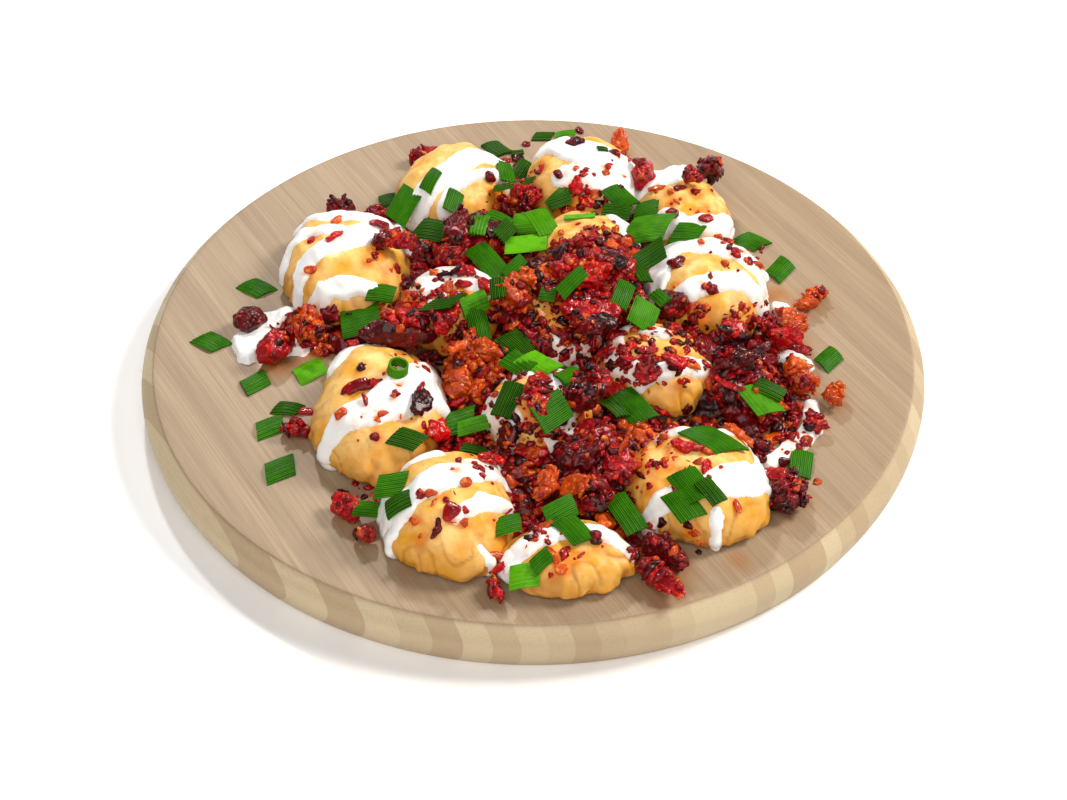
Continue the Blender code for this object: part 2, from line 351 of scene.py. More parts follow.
def board_wood():
    """Oiled hardwood: matt, pale, with fine dark fibres and a little shine on grease."""
    material, tree, shader = new_material("oiled_stave_wood", Roughness=0.55,
                                          Specular_IOR_Level=0.35)
    place = add_node(tree, "ShaderNodeTexCoord").outputs["Object"]
    along = add_node(tree, "ShaderNodeMapping", {"vector_type": "POINT"}, {
        "Vector": place, "Rotation": (0, 0, -GRAIN_BEARING)}).outputs[0]
    axes = add_node(tree, "ShaderNodeSeparateXYZ", {}, {0: along}).outputs
    wander = add_node(tree, "ShaderNodeTexNoise", {}, {
        "Vector": along, "Scale": 1 / (60 * MM), "Detail": 1}).outputs[0]
    wavy = add_node(tree, "ShaderNodeMath", {"operation": "MULTIPLY_ADD"}, {
        0: wander, 1: 1.5 * MM, 2: axes[1]}).outputs[0]
    across = add_node(tree, "ShaderNodeMath", {"operation": "DIVIDE"}, {
        0: wavy, 1: STAVE_WIDTH}).outputs[0]
    number = add_node(tree, "ShaderNodeMath", {"operation": "FLOOR"}, {0: across}).outputs[0]
    tone = add_node(tree, "ShaderNodeTexWhiteNoise", {"noise_dimensions": "1D"}, {
        "W": number}).outputs[0]
    shifted = add_node(tree, "ShaderNodeCombineXYZ", {}, {0: number, 2: tone}).outputs[0]
    own = add_node(tree, "ShaderNodeVectorMath", {"operation": "ADD"}, {
        0: along, 1: shifted}).outputs[0]
    stretched = add_node(tree, "ShaderNodeMapping", {"vector_type": "POINT"}, {
        "Vector": own, "Scale": (1 / FIBRE_LENGTH, 1 / FIBRE_WIDTH, 1 / FIBRE_WIDTH)}).outputs[0]
    fibres = add_node(tree, "ShaderNodeTexNoise", {}, {
        "Vector": stretched, "Scale": 1, "Detail": 3, "Roughness": 0.6}).outputs[0]
    bands = add_node(tree, "ShaderNodeMapping", {"vector_type": "POINT"}, {
        "Vector": own, "Scale": (1 / (90 * MM), 1 / (3 * MM), 1 / (3 * MM))}).outputs[0]
    streaks = add_node(tree, "ShaderNodeTexNoise", {}, {
        "Vector": bands, "Scale": 1, "Detail": 2}).outputs[0]
    stave = add_node(tree, "ShaderNodeMix", {"data_type": "RGBA"}, {
        MIX_FACTOR: tone, MIX_A: linear("AC967A"), MIX_B: linear("A08A70")}).outputs[MIX_RESULT]
    streaked_by = add_node(tree, "ShaderNodeMapRange", {}, {
        0: streaks, 1: 0.35, 2: 0.75, 3: 0, 4: 0.45}).outputs[0]
    streaked = add_node(tree, "ShaderNodeMix", {"data_type": "RGBA"}, {
        MIX_FACTOR: streaked_by, MIX_A: stave, MIX_B: linear("8A7258")}).outputs[MIX_RESULT]
    fine_by = add_node(tree, "ShaderNodeMapRange", {}, {
        0: fibres, 1: 0.42, 2: 0.72, 3: 0, 4: 0.55}).outputs[0]
    grained = add_node(tree, "ShaderNodeMix", {"data_type": "RGBA"}, {
        MIX_FACTOR: fine_by, MIX_A: streaked, MIX_B: linear("80684E")}).outputs[MIX_RESULT]
    height = add_node(tree, "ShaderNodeSeparateXYZ", {}, {0: place}).outputs[2]
    rim_by = add_node(tree, "ShaderNodeMapRange", {}, {
        0: height, 1: BOARD_TOP - 0.3 * MM, 2: BOARD_TOP - 1.2 * MM}).outputs[0]
    cut_end = add_node(tree, "ShaderNodeMix", {"data_type": "RGBA"}, {
        MIX_FACTOR: tone, MIX_A: linear("C6B492"), MIX_B: linear("AC9474")}).outputs[MIX_RESULT]
    pores_by = add_node(tree, "ShaderNodeMapRange", {}, {
        0: fibres, 1: 0.5, 2: 0.75, 3: 0, 4: 0.35}).outputs[0]
    pored = add_node(tree, "ShaderNodeMix", {"data_type": "RGBA"}, {
        MIX_FACTOR: pores_by, MIX_A: cut_end, MIX_B: linear("8E7656")}).outputs[MIX_RESULT]
    turned = add_node(tree, "ShaderNodeMix", {"data_type": "RGBA"}, {
        MIX_FACTOR: rim_by, MIX_A: grained, MIX_B: pored}).outputs[MIX_RESULT]
    # fat stains and painted contact shade round the bacon turn the wood orange-brown
    grease_and_shade = add_node(tree, "ShaderNodeAttribute", {"attribute_name": "grease_and_shade"}).outputs["Fac"]
    stain_and_shade_by = add_node(tree, "ShaderNodeMapRange", {}, {
        0: grease_and_shade, 1: 0.1, 2: 0.9, 3: 0, 4: 0.85}).outputs[0]
    stained_and_shaded = add_node(tree, "ShaderNodeMix", {"data_type": "RGBA"}, {
        MIX_FACTOR: stain_and_shade_by, MIX_A: turned, MIX_B: linear("A0642A")}).outputs[MIX_RESULT]
    wet = add_node(tree, "ShaderNodeMapRange", {}, {
        0: grease_and_shade, 1: 0.2, 2: 0.9, 3: 0.55, 4: 0.25}).outputs[0]
    relief = add_node(tree, "ShaderNodeBump", {}, {
        "Strength": 0.25, "Distance": 0.15 * MM, "Height": fibres}).outputs[0]
    tree.links.new(stained_and_shaded, shader.inputs["Base Color"])
    tree.links.new(wet, shader.inputs["Roughness"])
    tree.links.new(relief, shader.inputs["Normal"])
    return material


finish_piece("serving_board", board_mesh, board_wood(), ["board"])

# %% [markdown]
# ## The dumplings
# A pierog is a pouch of soft dough pressed shut along its edge and baked or fried.
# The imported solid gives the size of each, but it is coarse. So its triangles are
# paired into quads, subdivided smooth and fitted back to the solid's own box, and
# then there are enough points to push in and out for dents and wrinkles. The bacon
# is made from its solids in the same way.

# %% Fine copies of the solids
QUAD_LIMIT = math.radians(50)  # triangles that meet flatter than this become quads


def fine_copy(name, levels):
    """A CAD node's copy, merged, subdivided smooth and fitted to the node's box."""
    work = bmesh.new()
    work.from_mesh(nodes[name].data)
    bmesh.ops.remove_doubles(work, verts=work.verts, dist=MERGE)
    bmesh.ops.join_triangles(work, faces=work.faces, angle_face_threshold=QUAD_LIMIT,
                             angle_shape_threshold=QUAD_LIMIT)
    smooth = with_modifiers(mesh_from(work, name),
                            ("SUBSURF", {"levels": levels, "render_levels": levels}))
    points = points_of(smooth)
    low, high = (np.array(corner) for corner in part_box(name))
    share = (points - points.min(0)) / np.ptp(points, axis=0)
    set_points(smooth, low + share * (high - low))
    return smooth


def pushed(mesh, depth_at):
    """Moves each point along its normal by depth_at(point, normal), in metres."""
    points = points_of(mesh)
    normals = normals_of(mesh)
    depths = np.array([depth_at(Vector(p), Vector(n)) for p, n in zip(points, normals)])
    set_points(mesh, points + normals * depths[:, None])
    return mesh


print("triangles that meet within", round(math.degrees(QUAD_LIMIT)), "degrees become quads")

# %% [markdown]
# A baked dumpling's skin is taut over the filling, with shallow dents, and with
# creases and fine wrinkles that run down to the ragged seam. Noise at several scales
# gives them, from dents 15 mm wide to a grain of 1.6 mm. How deep each point lies in
# a crease is kept for the material, which paints shade into the creases.

# %% Dumplings: dents, creases and seam
DUMPLING_LEVELS = 3
SEAM_HEIGHT = 3.6 * MM
DRAWN_DOWN = 0.35  # heights count for less, so that folds run up and down


def crease_at(point):
    """How deep in a crease a point lies, 0 to 1. Creases are deepest low on the sides."""
    drawn = Vector((point.x, point.y, point.z * DRAWN_DOWN))
    bent = drawn + 2.5 * MM * Vector((noise.noise(point / (7 * MM)), 0, 0))
    fold = max(0, 1 - 6 * abs(noise.noise(bent / (9 * MM))))
    low = 1 - min(1, max(0, (point.z - FOOD_LEVEL - 12 * MM) / (10 * MM)))
    return fold * (0.35 + 0.65 * low)


def dough_relief(point, normal):
    """Dents, wrinkles, creases and a ragged pressed edge."""
    height = point.z - FOOD_LEVEL
    dents = 1.6 * noise.noise(point / (15 * MM)) + 1.0 * noise.noise(point / (6.5 * MM))
    drawn = Vector((point.x, point.y, point.z * DRAWN_DOWN))
    creases = 1 - 2.2 * abs(noise.noise(drawn / (4.5 * MM))) - 1.6 * crease_at(point)
    side = max(0.25, 1 - abs(height - 7 * MM) / (9 * MM))
    seam = math.exp(-((height - SEAM_HEIGHT) / (1.6 * MM)) ** 2)
    ragged = seam * (0.5 + 1.6 * noise.noise(point / (3.2 * MM)))
    foot = min(1, height / (1.5 * MM))
    grain = 0.1 * noise.noise(point / (1.6 * MM))
    return (dents + 0.55 * side * creases + ragged + grain) * max(0, foot) * MM


dumpling_meshes = {}
for name in dumpling_names:
    mesh = fine_copy(name, DUMPLING_LEVELS)
    creases = [crease_at(Vector(p)) for p in points_of(mesh)]
    dumpling_meshes[name] = pushed(mesh, dough_relief)
    give_attribute(mesh, "crease", creases)
print("dumpling points:", sum(len(mesh.vertices) for mesh in dumpling_meshes.values()))

# %% [markdown]
# Egg-washed dough browns unevenly: pale where it swelled and golden on top. The
# colours are mottled at 11 mm and at 2.6 mm. The dough turns browner towards the
# board, partly the browner baked foot and seam, partly painted shade on the low
# sides, and the creases are darkened with painted shade. Bacon fat soaks in and
# turns it orange. A little light goes through the dough, which subsurface
# scattering gives.

# %% Dough
def baked_dough():
    """Baked dough under egg wash: soft, faintly glossy and mottled brown."""
    material, tree, shader = new_material("egg_washed_dough", Roughness=0.42,
                                          Subsurface_Weight=0.25, Subsurface_Scale=2.5 * MM,
                                          Specular_IOR_Level=0.3)
    shader.inputs["Subsurface Radius"].default_value = (1.0, 0.55, 0.25)
    place = add_node(tree, "ShaderNodeTexCoord").outputs["Object"]
    clouds = add_node(tree, "ShaderNodeTexNoise", {}, {
        "Vector": place, "Scale": 1 / (11 * MM), "Detail": 2}).outputs[0]
    mottle = add_node(tree, "ShaderNodeTexNoise", {}, {
        "Vector": place, "Scale": 1 / (2.6 * MM), "Detail": 4, "Roughness": 0.6}).outputs[0]
    clouds_by = add_node(tree, "ShaderNodeMapRange", {}, {
        0: clouds, 1: 0.35, 2: 0.68}).outputs[0]
    base = add_node(tree, "ShaderNodeMix", {"data_type": "RGBA"}, {
        MIX_FACTOR: clouds_by, MIX_A: linear("F8CC7C"), MIX_B: linear("E8A42C")}).outputs[MIX_RESULT]
    mottle_by = add_node(tree, "ShaderNodeMapRange", {}, {
        0: mottle, 1: 0.5, 2: 0.75, 3: 0, 4: 0.5}).outputs[0]
    spotted = add_node(tree, "ShaderNodeMix", {"data_type": "RGBA"}, {
        MIX_FACTOR: mottle_by, MIX_A: base, MIX_B: linear("CC7E1C")}).outputs[MIX_RESULT]
    height = add_node(tree, "ShaderNodeSeparateXYZ", {}, {0: place}).outputs[2]
    # painted shade: darker brown low on the sides, together with the browner baked foot
    foot_brown_and_shade_by = add_node(tree, "ShaderNodeMapRange", {}, {
        0: height, 1: FOOD_LEVEL + 18 * MM, 2: FOOD_LEVEL + 1 * MM, 3: 0, 4: 0.9}).outputs[0]
    browned = add_node(tree, "ShaderNodeMix", {"data_type": "RGBA"}, {
        MIX_FACTOR: foot_brown_and_shade_by, MIX_A: spotted, MIX_B: linear("C68418")}).outputs[MIX_RESULT]
    relief = add_node(tree, "ShaderNodeBump", {}, {
        "Strength": 0.35, "Distance": 0.35 * MM, "Height": mottle}).outputs[0]
    fat = add_node(tree, "ShaderNodeAttribute", {"attribute_name": "fat"}).outputs["Fac"]
    soaked_by = add_node(tree, "ShaderNodeMapRange", {}, {
        0: fat, 1: 0.15, 2: 1, 3: 0, 4: 0.85}).outputs[0]
    soaked = add_node(tree, "ShaderNodeMix", {"data_type": "RGBA"}, {
        MIX_FACTOR: soaked_by, MIX_A: browned, MIX_B: linear("E07C10")}).outputs[MIX_RESULT]
    # painted shade: the creases are darkened towards deep brown
    crease = add_node(tree, "ShaderNodeAttribute", {"attribute_name": "crease"}).outputs["Fac"]
    crease_shade_by = add_node(tree, "ShaderNodeMapRange", {}, {
        0: crease, 1: 0.2, 2: 1, 3: 0, 4: 0.55}).outputs[0]
    crease_shaded = add_node(tree, "ShaderNodeMix", {"data_type": "RGBA"}, {
        MIX_FACTOR: crease_shade_by, MIX_A: soaked, MIX_B: linear("A85E14")}).outputs[MIX_RESULT]
    tree.links.new(crease_shaded, shader.inputs["Base Color"])
    tree.links.new(relief, shader.inputs["Normal"])
    return material


dough = baked_dough()
for name, mesh in dumpling_meshes.items():
    finish_piece("baked_" + name, mesh, dough, [name])

# %% [markdown]
# ## Fried bacon pieces
# Fried bacon is knobbly: fat bubbles while it cooks and leaves blisters about 2 mm
# wide with deep gaps between them, which the material darkens with painted shade.
# Each imported piece is subdivided. The whole slices and lumps get that blistered
# relief from a Voronoi pattern. The clumps and heaps are drawn in instead, to make
# room for the crumbs that cling to them.

# %% Bacon relief
BLISTER = 2.1 * MM


def bacon_relief(point, normal):
    """Rounded blisters over coarse lumps."""
    near = noise.voronoi(point / BLISTER)[0][0]
    lumps = noise.noise(point / (4 * MM))
    folds = 1 - 2 * abs(noise.noise(Vector((point.x, point.y * 0.4, point.z)) / (3 * MM)))
    return (0.9 * (0.5 - near) + 0.9 * lumps + 0.35 * folds - 0.3) * MM


def clump_relief(point, normal):
    """A core drawn in by about a millimetre, for crumbs to cling to."""
    return (1.2 * noise.noise(point / (4 * MM)) - 1.1) * MM


def heap_relief(point, normal):
    """Deeper relief on a core that is 2 mm smaller than the heap."""
    near = noise.voronoi(point / (4.5 * MM))[0][0]
    coarse = (2.6 * (0.45 - near) + 1.2 * noise.noise(point / (8 * MM)) - 2.0) * MM
    return coarse + 0.7 * bacon_relief(point, normal)


print("blisters are", BLISTER / MM, "mm wide")

# %% [markdown]
# Some pieces are lean and red, some are fried nearly black, and some are orange rind
# and fat. A few are whole slices and lumps. The rest are clumps of crumbs.

# %% Bacon pieces
DARK_PIECES = ["left_dark", "behind_left_dark", "back_right_dark", "inner_dark", "right_dark",
               "right_front_dark", "front_black", "wrinkled", "centre_black", "middle_black",
               "right_pair_dark"]
ORANGE_PIECES = ["left_orange", "back_orange", "far_right_orange", "far_right_knob",
                 "right_pair_orange", "right_orange", "centre_orange", "front_orange"]
# solid slices and berry-round bits; the other pieces are clumps of crumbs
WHOLE_PIECES = ["left_dark", "left_red", "right_dark", "front_black", "wrinkled", "centre_black",
                "middle_black", "middle_slab", "inner_left_red", "inner_left_fold", "back_curl",
                "centre_oval", "back_orange", "front_left_red"]
WHOLE_LEVELS = 3
CLUMP_LEVELS = 2
bacon_names = [name for name in nodes if name.startswith("bacon_") and name not in heap_names]
dark_names = ["bacon_" + name for name in DARK_PIECES]
orange_names = ["bacon_" + name for name in ORANGE_PIECES]
red_names = sorted(set(bacon_names) - set(dark_names) - set(orange_names))
bacon_meshes = {}
for name in bacon_names:
    if name.removeprefix("bacon_") in WHOLE_PIECES:
        bacon_meshes[name] = pushed(fine_copy(name, WHOLE_LEVELS), bacon_relief)
    else:
        bacon_meshes[name] = pushed(fine_copy(name, CLUMP_LEVELS), clump_relief)
heap_meshes = {name: pushed(fine_copy(name, CLUMP_LEVELS), heap_relief)
               for name in heap_names}
print(len(dark_names), "dark,", len(orange_names), "orange and", len(red_names), "red pieces")

# %% [markdown]
# Bacon comes in three finishes: lean red meat, meat fried nearly black, and orange
# rind and fat. All are the same wet, blistered material with other colours. Patches
# and each crumb's own tone say how browned the meat is, small flecks are fat, and the
# gaps between the blisters are darkened with painted shade. A thin clear coat stands
# for the film of fat.

# %% Bacon finish
def fried_bacon(name, lean, dark, fat, fat_share):
    """Cured meat fried in its own fat: translucent, wet and unevenly browned."""
    material, tree, shader = new_material(name, Roughness=0.32, Specular_IOR_Level=0.2,
                                          Coat_Weight=0.22, Coat_Roughness=0.12)
    place = add_node(tree, "ShaderNodeTexCoord").outputs["Object"]
    patches = add_node(tree, "ShaderNodeTexNoise", {}, {
        "Vector": place, "Scale": 1 / (4.5 * MM), "Detail": 3}).outputs[0]
    grains = add_node(tree, "ShaderNodeTexVoronoi", {"feature": "F1"}, {
        "Vector": place, "Scale": 1 / (1.3 * MM)}).outputs[0]
    fleck = add_node(tree, "ShaderNodeTexNoise", {}, {
        "Vector": place, "Scale": 1 / (2 * MM), "Detail": 4}).outputs[0]
    own = add_node(tree, "ShaderNodeAttribute", {"attribute_name": "tone"}).outputs["Fac"]
    browned = add_node(tree, "ShaderNodeMath", {"operation": "MULTIPLY_ADD"}, {
        0: own, 1: 0.34, 2: patches}).outputs[0]
    dark_by = add_node(tree, "ShaderNodeMapRange", {}, {
        0: browned, 1: 0.5, 2: 0.85}).outputs[0]
    meat = add_node(tree, "ShaderNodeMix", {"data_type": "RGBA"}, {
        MIX_FACTOR: dark_by, MIX_A: linear(lean), MIX_B: linear(dark)}).outputs[MIX_RESULT]
    fat_by = add_node(tree, "ShaderNodeMapRange", {}, {
        0: fleck, 1: 0.66 - 0.12 * fat_share, 2: 0.76 - 0.12 * fat_share, 3: 0, 4: 0.8}).outputs[0]
    marbled = add_node(tree, "ShaderNodeMix", {"data_type": "RGBA"}, {
        MIX_FACTOR: fat_by, MIX_A: meat, MIX_B: linear(fat)}).outputs[MIX_RESULT]
    # painted shade: the gaps between the blisters are darkened
    gap_shade_by = add_node(tree, "ShaderNodeMapRange", {}, {
        0: grains, 1: 0.45, 2: 0.8, 3: 0, 4: 0.6}).outputs[0]
    gap_shaded = add_node(tree, "ShaderNodeMix", {"data_type": "RGBA"}, {
        MIX_FACTOR: gap_shade_by, MIX_A: marbled, MIX_B: linear(dark)}).outputs[MIX_RESULT]
    relief = add_node(tree, "ShaderNodeBump", {"invert": True}, {
        "Strength": 0.6, "Distance": 0.45 * MM, "Height": grains}).outputs[0]
    tree.links.new(gap_shaded, shader.inputs["Base Color"])
    tree.links.new(relief, shader.inputs["Normal"])
    return material


red_bacon = fried_bacon("fried_bacon_red", "C60808", "6E020E", "F06428", 0.45)
dark_bacon = fried_bacon("fried_bacon_dark", "7A040C", "240204", "BA2814", 0.25)
orange_bacon = fried_bacon("fried_bacon_orange", "D8560E", "A83206", "F4963C", 0.8)
FINISHES = {"red": red_bacon, "dark": dark_bacon, "orange": orange_bacon}
KIND_NAMES = {"red": red_names, "dark": dark_names, "orange": orange_names}
print("bacon finishes:", *FINISHES)

# %% [markdown]
# ## Where things land
# Everything that follows lies on what is already there. A search tree of all the
# surfaces answers two questions: what is straight under a place, and where does a
# line of sight from the camera first meet the food. The second is how single
# toppings are placed: a place (x, y) is where that line crosses a level 12 mm over
# the board, and the topping lands where the same line meets the food.

# %% Search tree
SIGHT_LEVEL = FOOD_LEVEL + 12 * MM
ABOVE_FOOD = 200 * MM
UP = Vector((0, 0, 1))


def search_tree(meshes):
    """The meshes' faces in one tree, which finds what a ray meets first."""
    points = []
    faces = []
    for mesh in meshes:
        start = len(points)
        points += points_of(mesh).tolist()
        faces += [[start + i for i in face.vertices] for face in mesh.polygons]
    return BVHTree.FromPolygons(points, faces)


def under(tree, x, y):
    """The highest point at a plan place, and the surface's normal there."""
    place, normal, _, _ = tree.ray_cast(Vector((x, y, ABOVE_FOOD)), -UP)
    if place is None:  # the ray slipped through a seam, or missed the plate
        return Vector((x, y, BOARD_TOP)), UP
    return place, normal


def sighted(tree, x, y):
    """Where the camera's line through a place on the sighting level meets the food."""
    line = Vector((x * MM, y * MM, SIGHT_LEVEL)) - CAMERA_PLACE
    place, normal, _, _ = tree.ray_cast(CAMERA_PLACE, line.normalized())
    return place, normal


solid_food = [*dumpling_meshes.values(), *heap_meshes.values(), *bacon_meshes.values()]
heap_top = max(points_of(heap_meshes["bacon_heap_middle"])[:, 2])
print("the core of the middle heap rises to", round(heap_top / MM), "mm")

# %% [markdown]
# ## Sour cream
# Cream drizzled from a spoon lies in wide stripes with round shoulders, which widen
# where it pools and end in drips. It could be a tube or a fluid simulation. Here it
# grows out of the dough's own points instead, so it follows every dent: each point
# measures how far inside a stripe it lies, points inside are lifted, and points just
# outside sink under the dough, which leaves a clean rounded edge.

# %% Cream: stripes
# each stripe is a list of (x, y, half width) in mm, from one end to the other
STRIPES = {
    "dumpling_left": [
        [(-56, 50, 6), (-64, 42, 6.5), (-75, 34, 6.5), (-85, 29, 5.5), (-93, 23, 4.5),
         (-97, 15, 3)],
        [(-99, 58, 3.5), (-90, 54, 4), (-78, 52, 4.5), (-62, 50, 5)],
        [(-80, 41, 2.5), (-94, 42, 2.5), (-101, 37, 2.5), (-105, 31, 2)],
        [(-90, 7, 3), (-86, 10, 3.5), (-74, 12, 3.5), (-66, 12, 3)],
        [(-90, 8, 2.5), (-90, 0, 2)], [(-100, 60, 3), (-97, 62, 3)],
    ],
    "dumpling_back_left": [
        [(-15, 101, 5), (-27, 95, 6), (-38, 83, 5.5), (-47, 74, 5.5), (-53, 69, 5)],
        [(-13, 90, 2.5), (-25, 84, 2.5), (-33, 77, 2.5), (-38, 68, 2.5)],
    ],
    "dumpling_back": [
        [(8, 109, 8), (20, 99, 9), (33, 92, 9), (46, 90, 8)],
        [(13, 84, 5), (25, 82, 6), (40, 80, 6)], [(24, 96, 8), (30, 84, 7)],
    ],
    "dumpling_back_right": [
        [(47, 86, 6), (58, 84, 6), (68, 91, 5)],
        [(55, 61, 4), (66, 54, 4), (80, 56, 4.5), (86, 64, 4)],
    ],
    "dumpling_right": [
        [(48, 29, 8), (58, 34, 8), (65, 34, 7), (80, 28, 6), (95, 24, 5)],
        [(55, 35, 6), (52, 25, 6), (50, 12, 5)],
        [(58, 3, 4), (66, 6, 4.5), (76, 9, 4.5), (86, 11, 5), (94, 8, 5)],
    ],
    "dumpling_centre_back": [[(31, 63, 3), (40, 50, 4), (42, 42, 4)]],
    "dumpling_front_left": [
        [(-36, -46, 12), (-44, -53, 11), (-52, -62, 9), (-61, -68, 7), (-72, -71, 5.5),
         (-79, -75, 3.5)],
        [(-79, -38, 2.5), (-71, -26, 3), (-63, -21, 4)],
    ],
    "dumpling_front": [
        [(-8, -89, 5), (-23, -101, 6.5), (-40, -110, 6), (-53, -119, 4.5)],
        [(-9, -110, 2.5), (-18, -115, 3.5), (-28, -122, 2.5)],
        [(-56, -104, 3.5), (-55, -114, 4), (-52, -122, 3)], [(-46, -90, 4), (-37, -88, 4)],
        [(-18, -131, 2), (-15, -132, 2)],
    ],
    "dumpling_small_front": [
        [(-9, -134, 4), (-2, -129, 5), (10, -123, 5), (22, -123, 4), (35, -128, 3)],
    ],
    "dumpling_front_right": [
        [(86, -72, 4), (89, -82, 5), (87, -92, 5), (80, -99, 6), (70, -104, 5.5),
         (63, -106, 4)],
        [(50, -109, 4.5), (43, -112, 4)], [(67, -116, 2.2), (67, -121, 2)],
        [(50, -76, 4), (60, -78, 3), (72, -73, 3), (84, -74, 3)],
    ],
    "dumpling_inner_right": [
        [(37, -11, 3.5), (32, -22, 3.5), (33, -34, 3.5), (42, -42, 3.5), (52, -41, 3.5),
         (62, -37, 3.5), (68, -32, 3)],
        [(45, -20, 3), (52, -24, 3)],
    ],
    "dumpling_inner_front": [[(12, -50, 6), (10, -72, 6)], [(-15, -58, 5), (-8, -71, 4)],
                             [(-6, -44, 6), (10, -44, 6)]],
    "dumpling_middle": [[(2, -24, 5), (12, -26, 6), (22, -24, 6), (29, -14, 5)],
                        [(-4, 2, 6), (8, 6, 6)]],
    "dumpling_inner_left": [
        [(-47, 20, 6), (-42, 6, 6), (-36, -6, 5)], [(-38, 22, 7), (-26, 14, 8), (-18, 10, 7)],
    ],
}
BOARD_POOLS = [
    [(-101, 15, 4), (-110, 8, 6), (-117, -4, 6), (-116, -12, 4)], [(-104, -8, 4), (-95, -7, 4)],
    [(-61, 71, 4), (-59, 69, 4)], [(-61, 5, 3), (-56, 5, 4)], [(-49, 64, 3), (-47, 64, 3)],
    [(55, 108, 5), (68, 112, 5)], [(95, 41, 3), (97, 39, 3)], [(102, 18, 4), (104, 15, 4)],
    [(97, -10, 4), (104, -13, 4.5), (109, -17, 4)],
    [(110, -42, 4), (109, -55, 4), (100, -65, 4), (92, -73, 4)],
]
print(sum(len(stripes) for stripes in STRIPES.values()), "stripes of cream")

# %% [markdown]
# A stripe's depth is the distance to its middle line taken from its half width, and
# noise makes its edge wander. Dry faces are cut away and Solidify closes the shell
# from below. A pool on the wood is made the same way, from a flat patch.

# %% Cream: shells
CREAM_THICK = 1.5 * MM
POOL_THICK = 3 * MM
CREAM_SHOULDER = 2.2 * MM
CREAM_SKIRT = 0.9 * MM
SHELL_WALL = 0.9 * MM
WOBBLE_REACH = 6 * MM
DEEPEST_SUNK = 0.7 * MM
POOL_GRID = 0.7 * MM
POOL_MARGIN = 3 * MM


def inside_stripe(plan, stripe):
    """How far inside the stripe each plan point lies, in metres; below 0 is outside."""
    best = np.full(len(plan), -1.0)
    for (x0, y0, w0), (x1, y1, w1) in zip(stripe, stripe[1:]):
        start = np.array((x0, y0)) * MM
        run = np.array((x1 - x0, y1 - y0)) * MM
        share = np.clip((plan - start) @ run / max(run @ run, 1e-12), 0, 1)
        away = np.linalg.norm(plan - start - share[:, None] * run, axis=1)
        best = np.maximum(best, (w0 + (w1 - w0) * share) * MM - away)
    return best


def wobble(point):
    """An uneven edge, as poured cream has."""
    place = Vector(point)
    return (1.1 * noise.noise(place / (6 * MM)) + 0.5 * noise.noise(place / (2.4 * MM))) * MM


def cream_shell(mesh, stripes, thick):
    """The part of a surface that lies under cream, raised to the cream's own surface."""
    points = points_of(mesh)
    normals = normals_of(mesh)
    depth = np.max([inside_stripe(points[:, :2], stripe) for stripe in stripes], axis=0)
    near = depth > -WOBBLE_REACH
    depth[near] += [wobble(p) for p in points[near]]
    swell = np.array([0.35 * noise.noise(Vector(p) / (5 * MM)) for p in points])
    across = np.clip(depth / CREAM_SHOULDER, 0, 1)
    raised = thick * np.sqrt(1 - (1 - across) ** 2) * (1 + swell)
    sunk = np.clip(depth * 0.6, -DEEPEST_SUNK, 0)
    work = bmesh.new()
    work.from_mesh(mesh)
    work.verts.ensure_lookup_table()
    place = points + normals * (raised + sunk)[:, None]
    for vert, at in zip(work.verts, place):
        vert.co = at
    dry = [face for face in work.faces
           if max(depth[vert.index] for vert in face.verts) < -CREAM_SKIRT]
    bmesh.ops.delete(work, geom=dry, context="FACES")
    return thickened(mesh_from(work, "cream"), SHELL_WALL)


def flat_patch(stripe, spacing):
    """A level grid over the board that covers one pool."""
    xs = [x * MM for x, y, w in stripe]
    ys = [y * MM for x, y, w in stripe]
    reach = max(w for x, y, w in stripe) * MM + POOL_MARGIN
    wide = max(xs) - min(xs) + 2 * reach
    deep = max(ys) - min(ys) + 2 * reach
    middle = ((max(xs) + min(xs)) / 2, (max(ys) + min(ys)) / 2)
    work = bmesh.new()
    bmesh.ops.create_grid(work, x_segments=int(wide / spacing), y_segments=int(deep / spacing),
                          size=0.5)
    for vert in work.verts:
        vert.co = (middle[0] + vert.co.x * wide, middle[1] + vert.co.y * deep, BOARD_TOP)
    return mesh_from(work, "patch")


cream_shells = {name: cream_shell(dumpling_meshes[name], stripes, CREAM_THICK)
                for name, stripes in STRIPES.items()}
pool_shells = [cream_shell(flat_patch(pool, POOL_GRID), [pool], POOL_THICK)
               for pool in BOARD_POOLS]
print("cream lies on", len(cream_shells), "dumplings and in", len(pool_shells), "pools")

# %% [markdown]
# Sour cream is dense and white, with a wet gloss, and light spreads a little inside
# it. Where it touches bacon it takes up orange fat, in patches. The shells wait in
# three groups, because the bacon that stains them has yet to be laid.

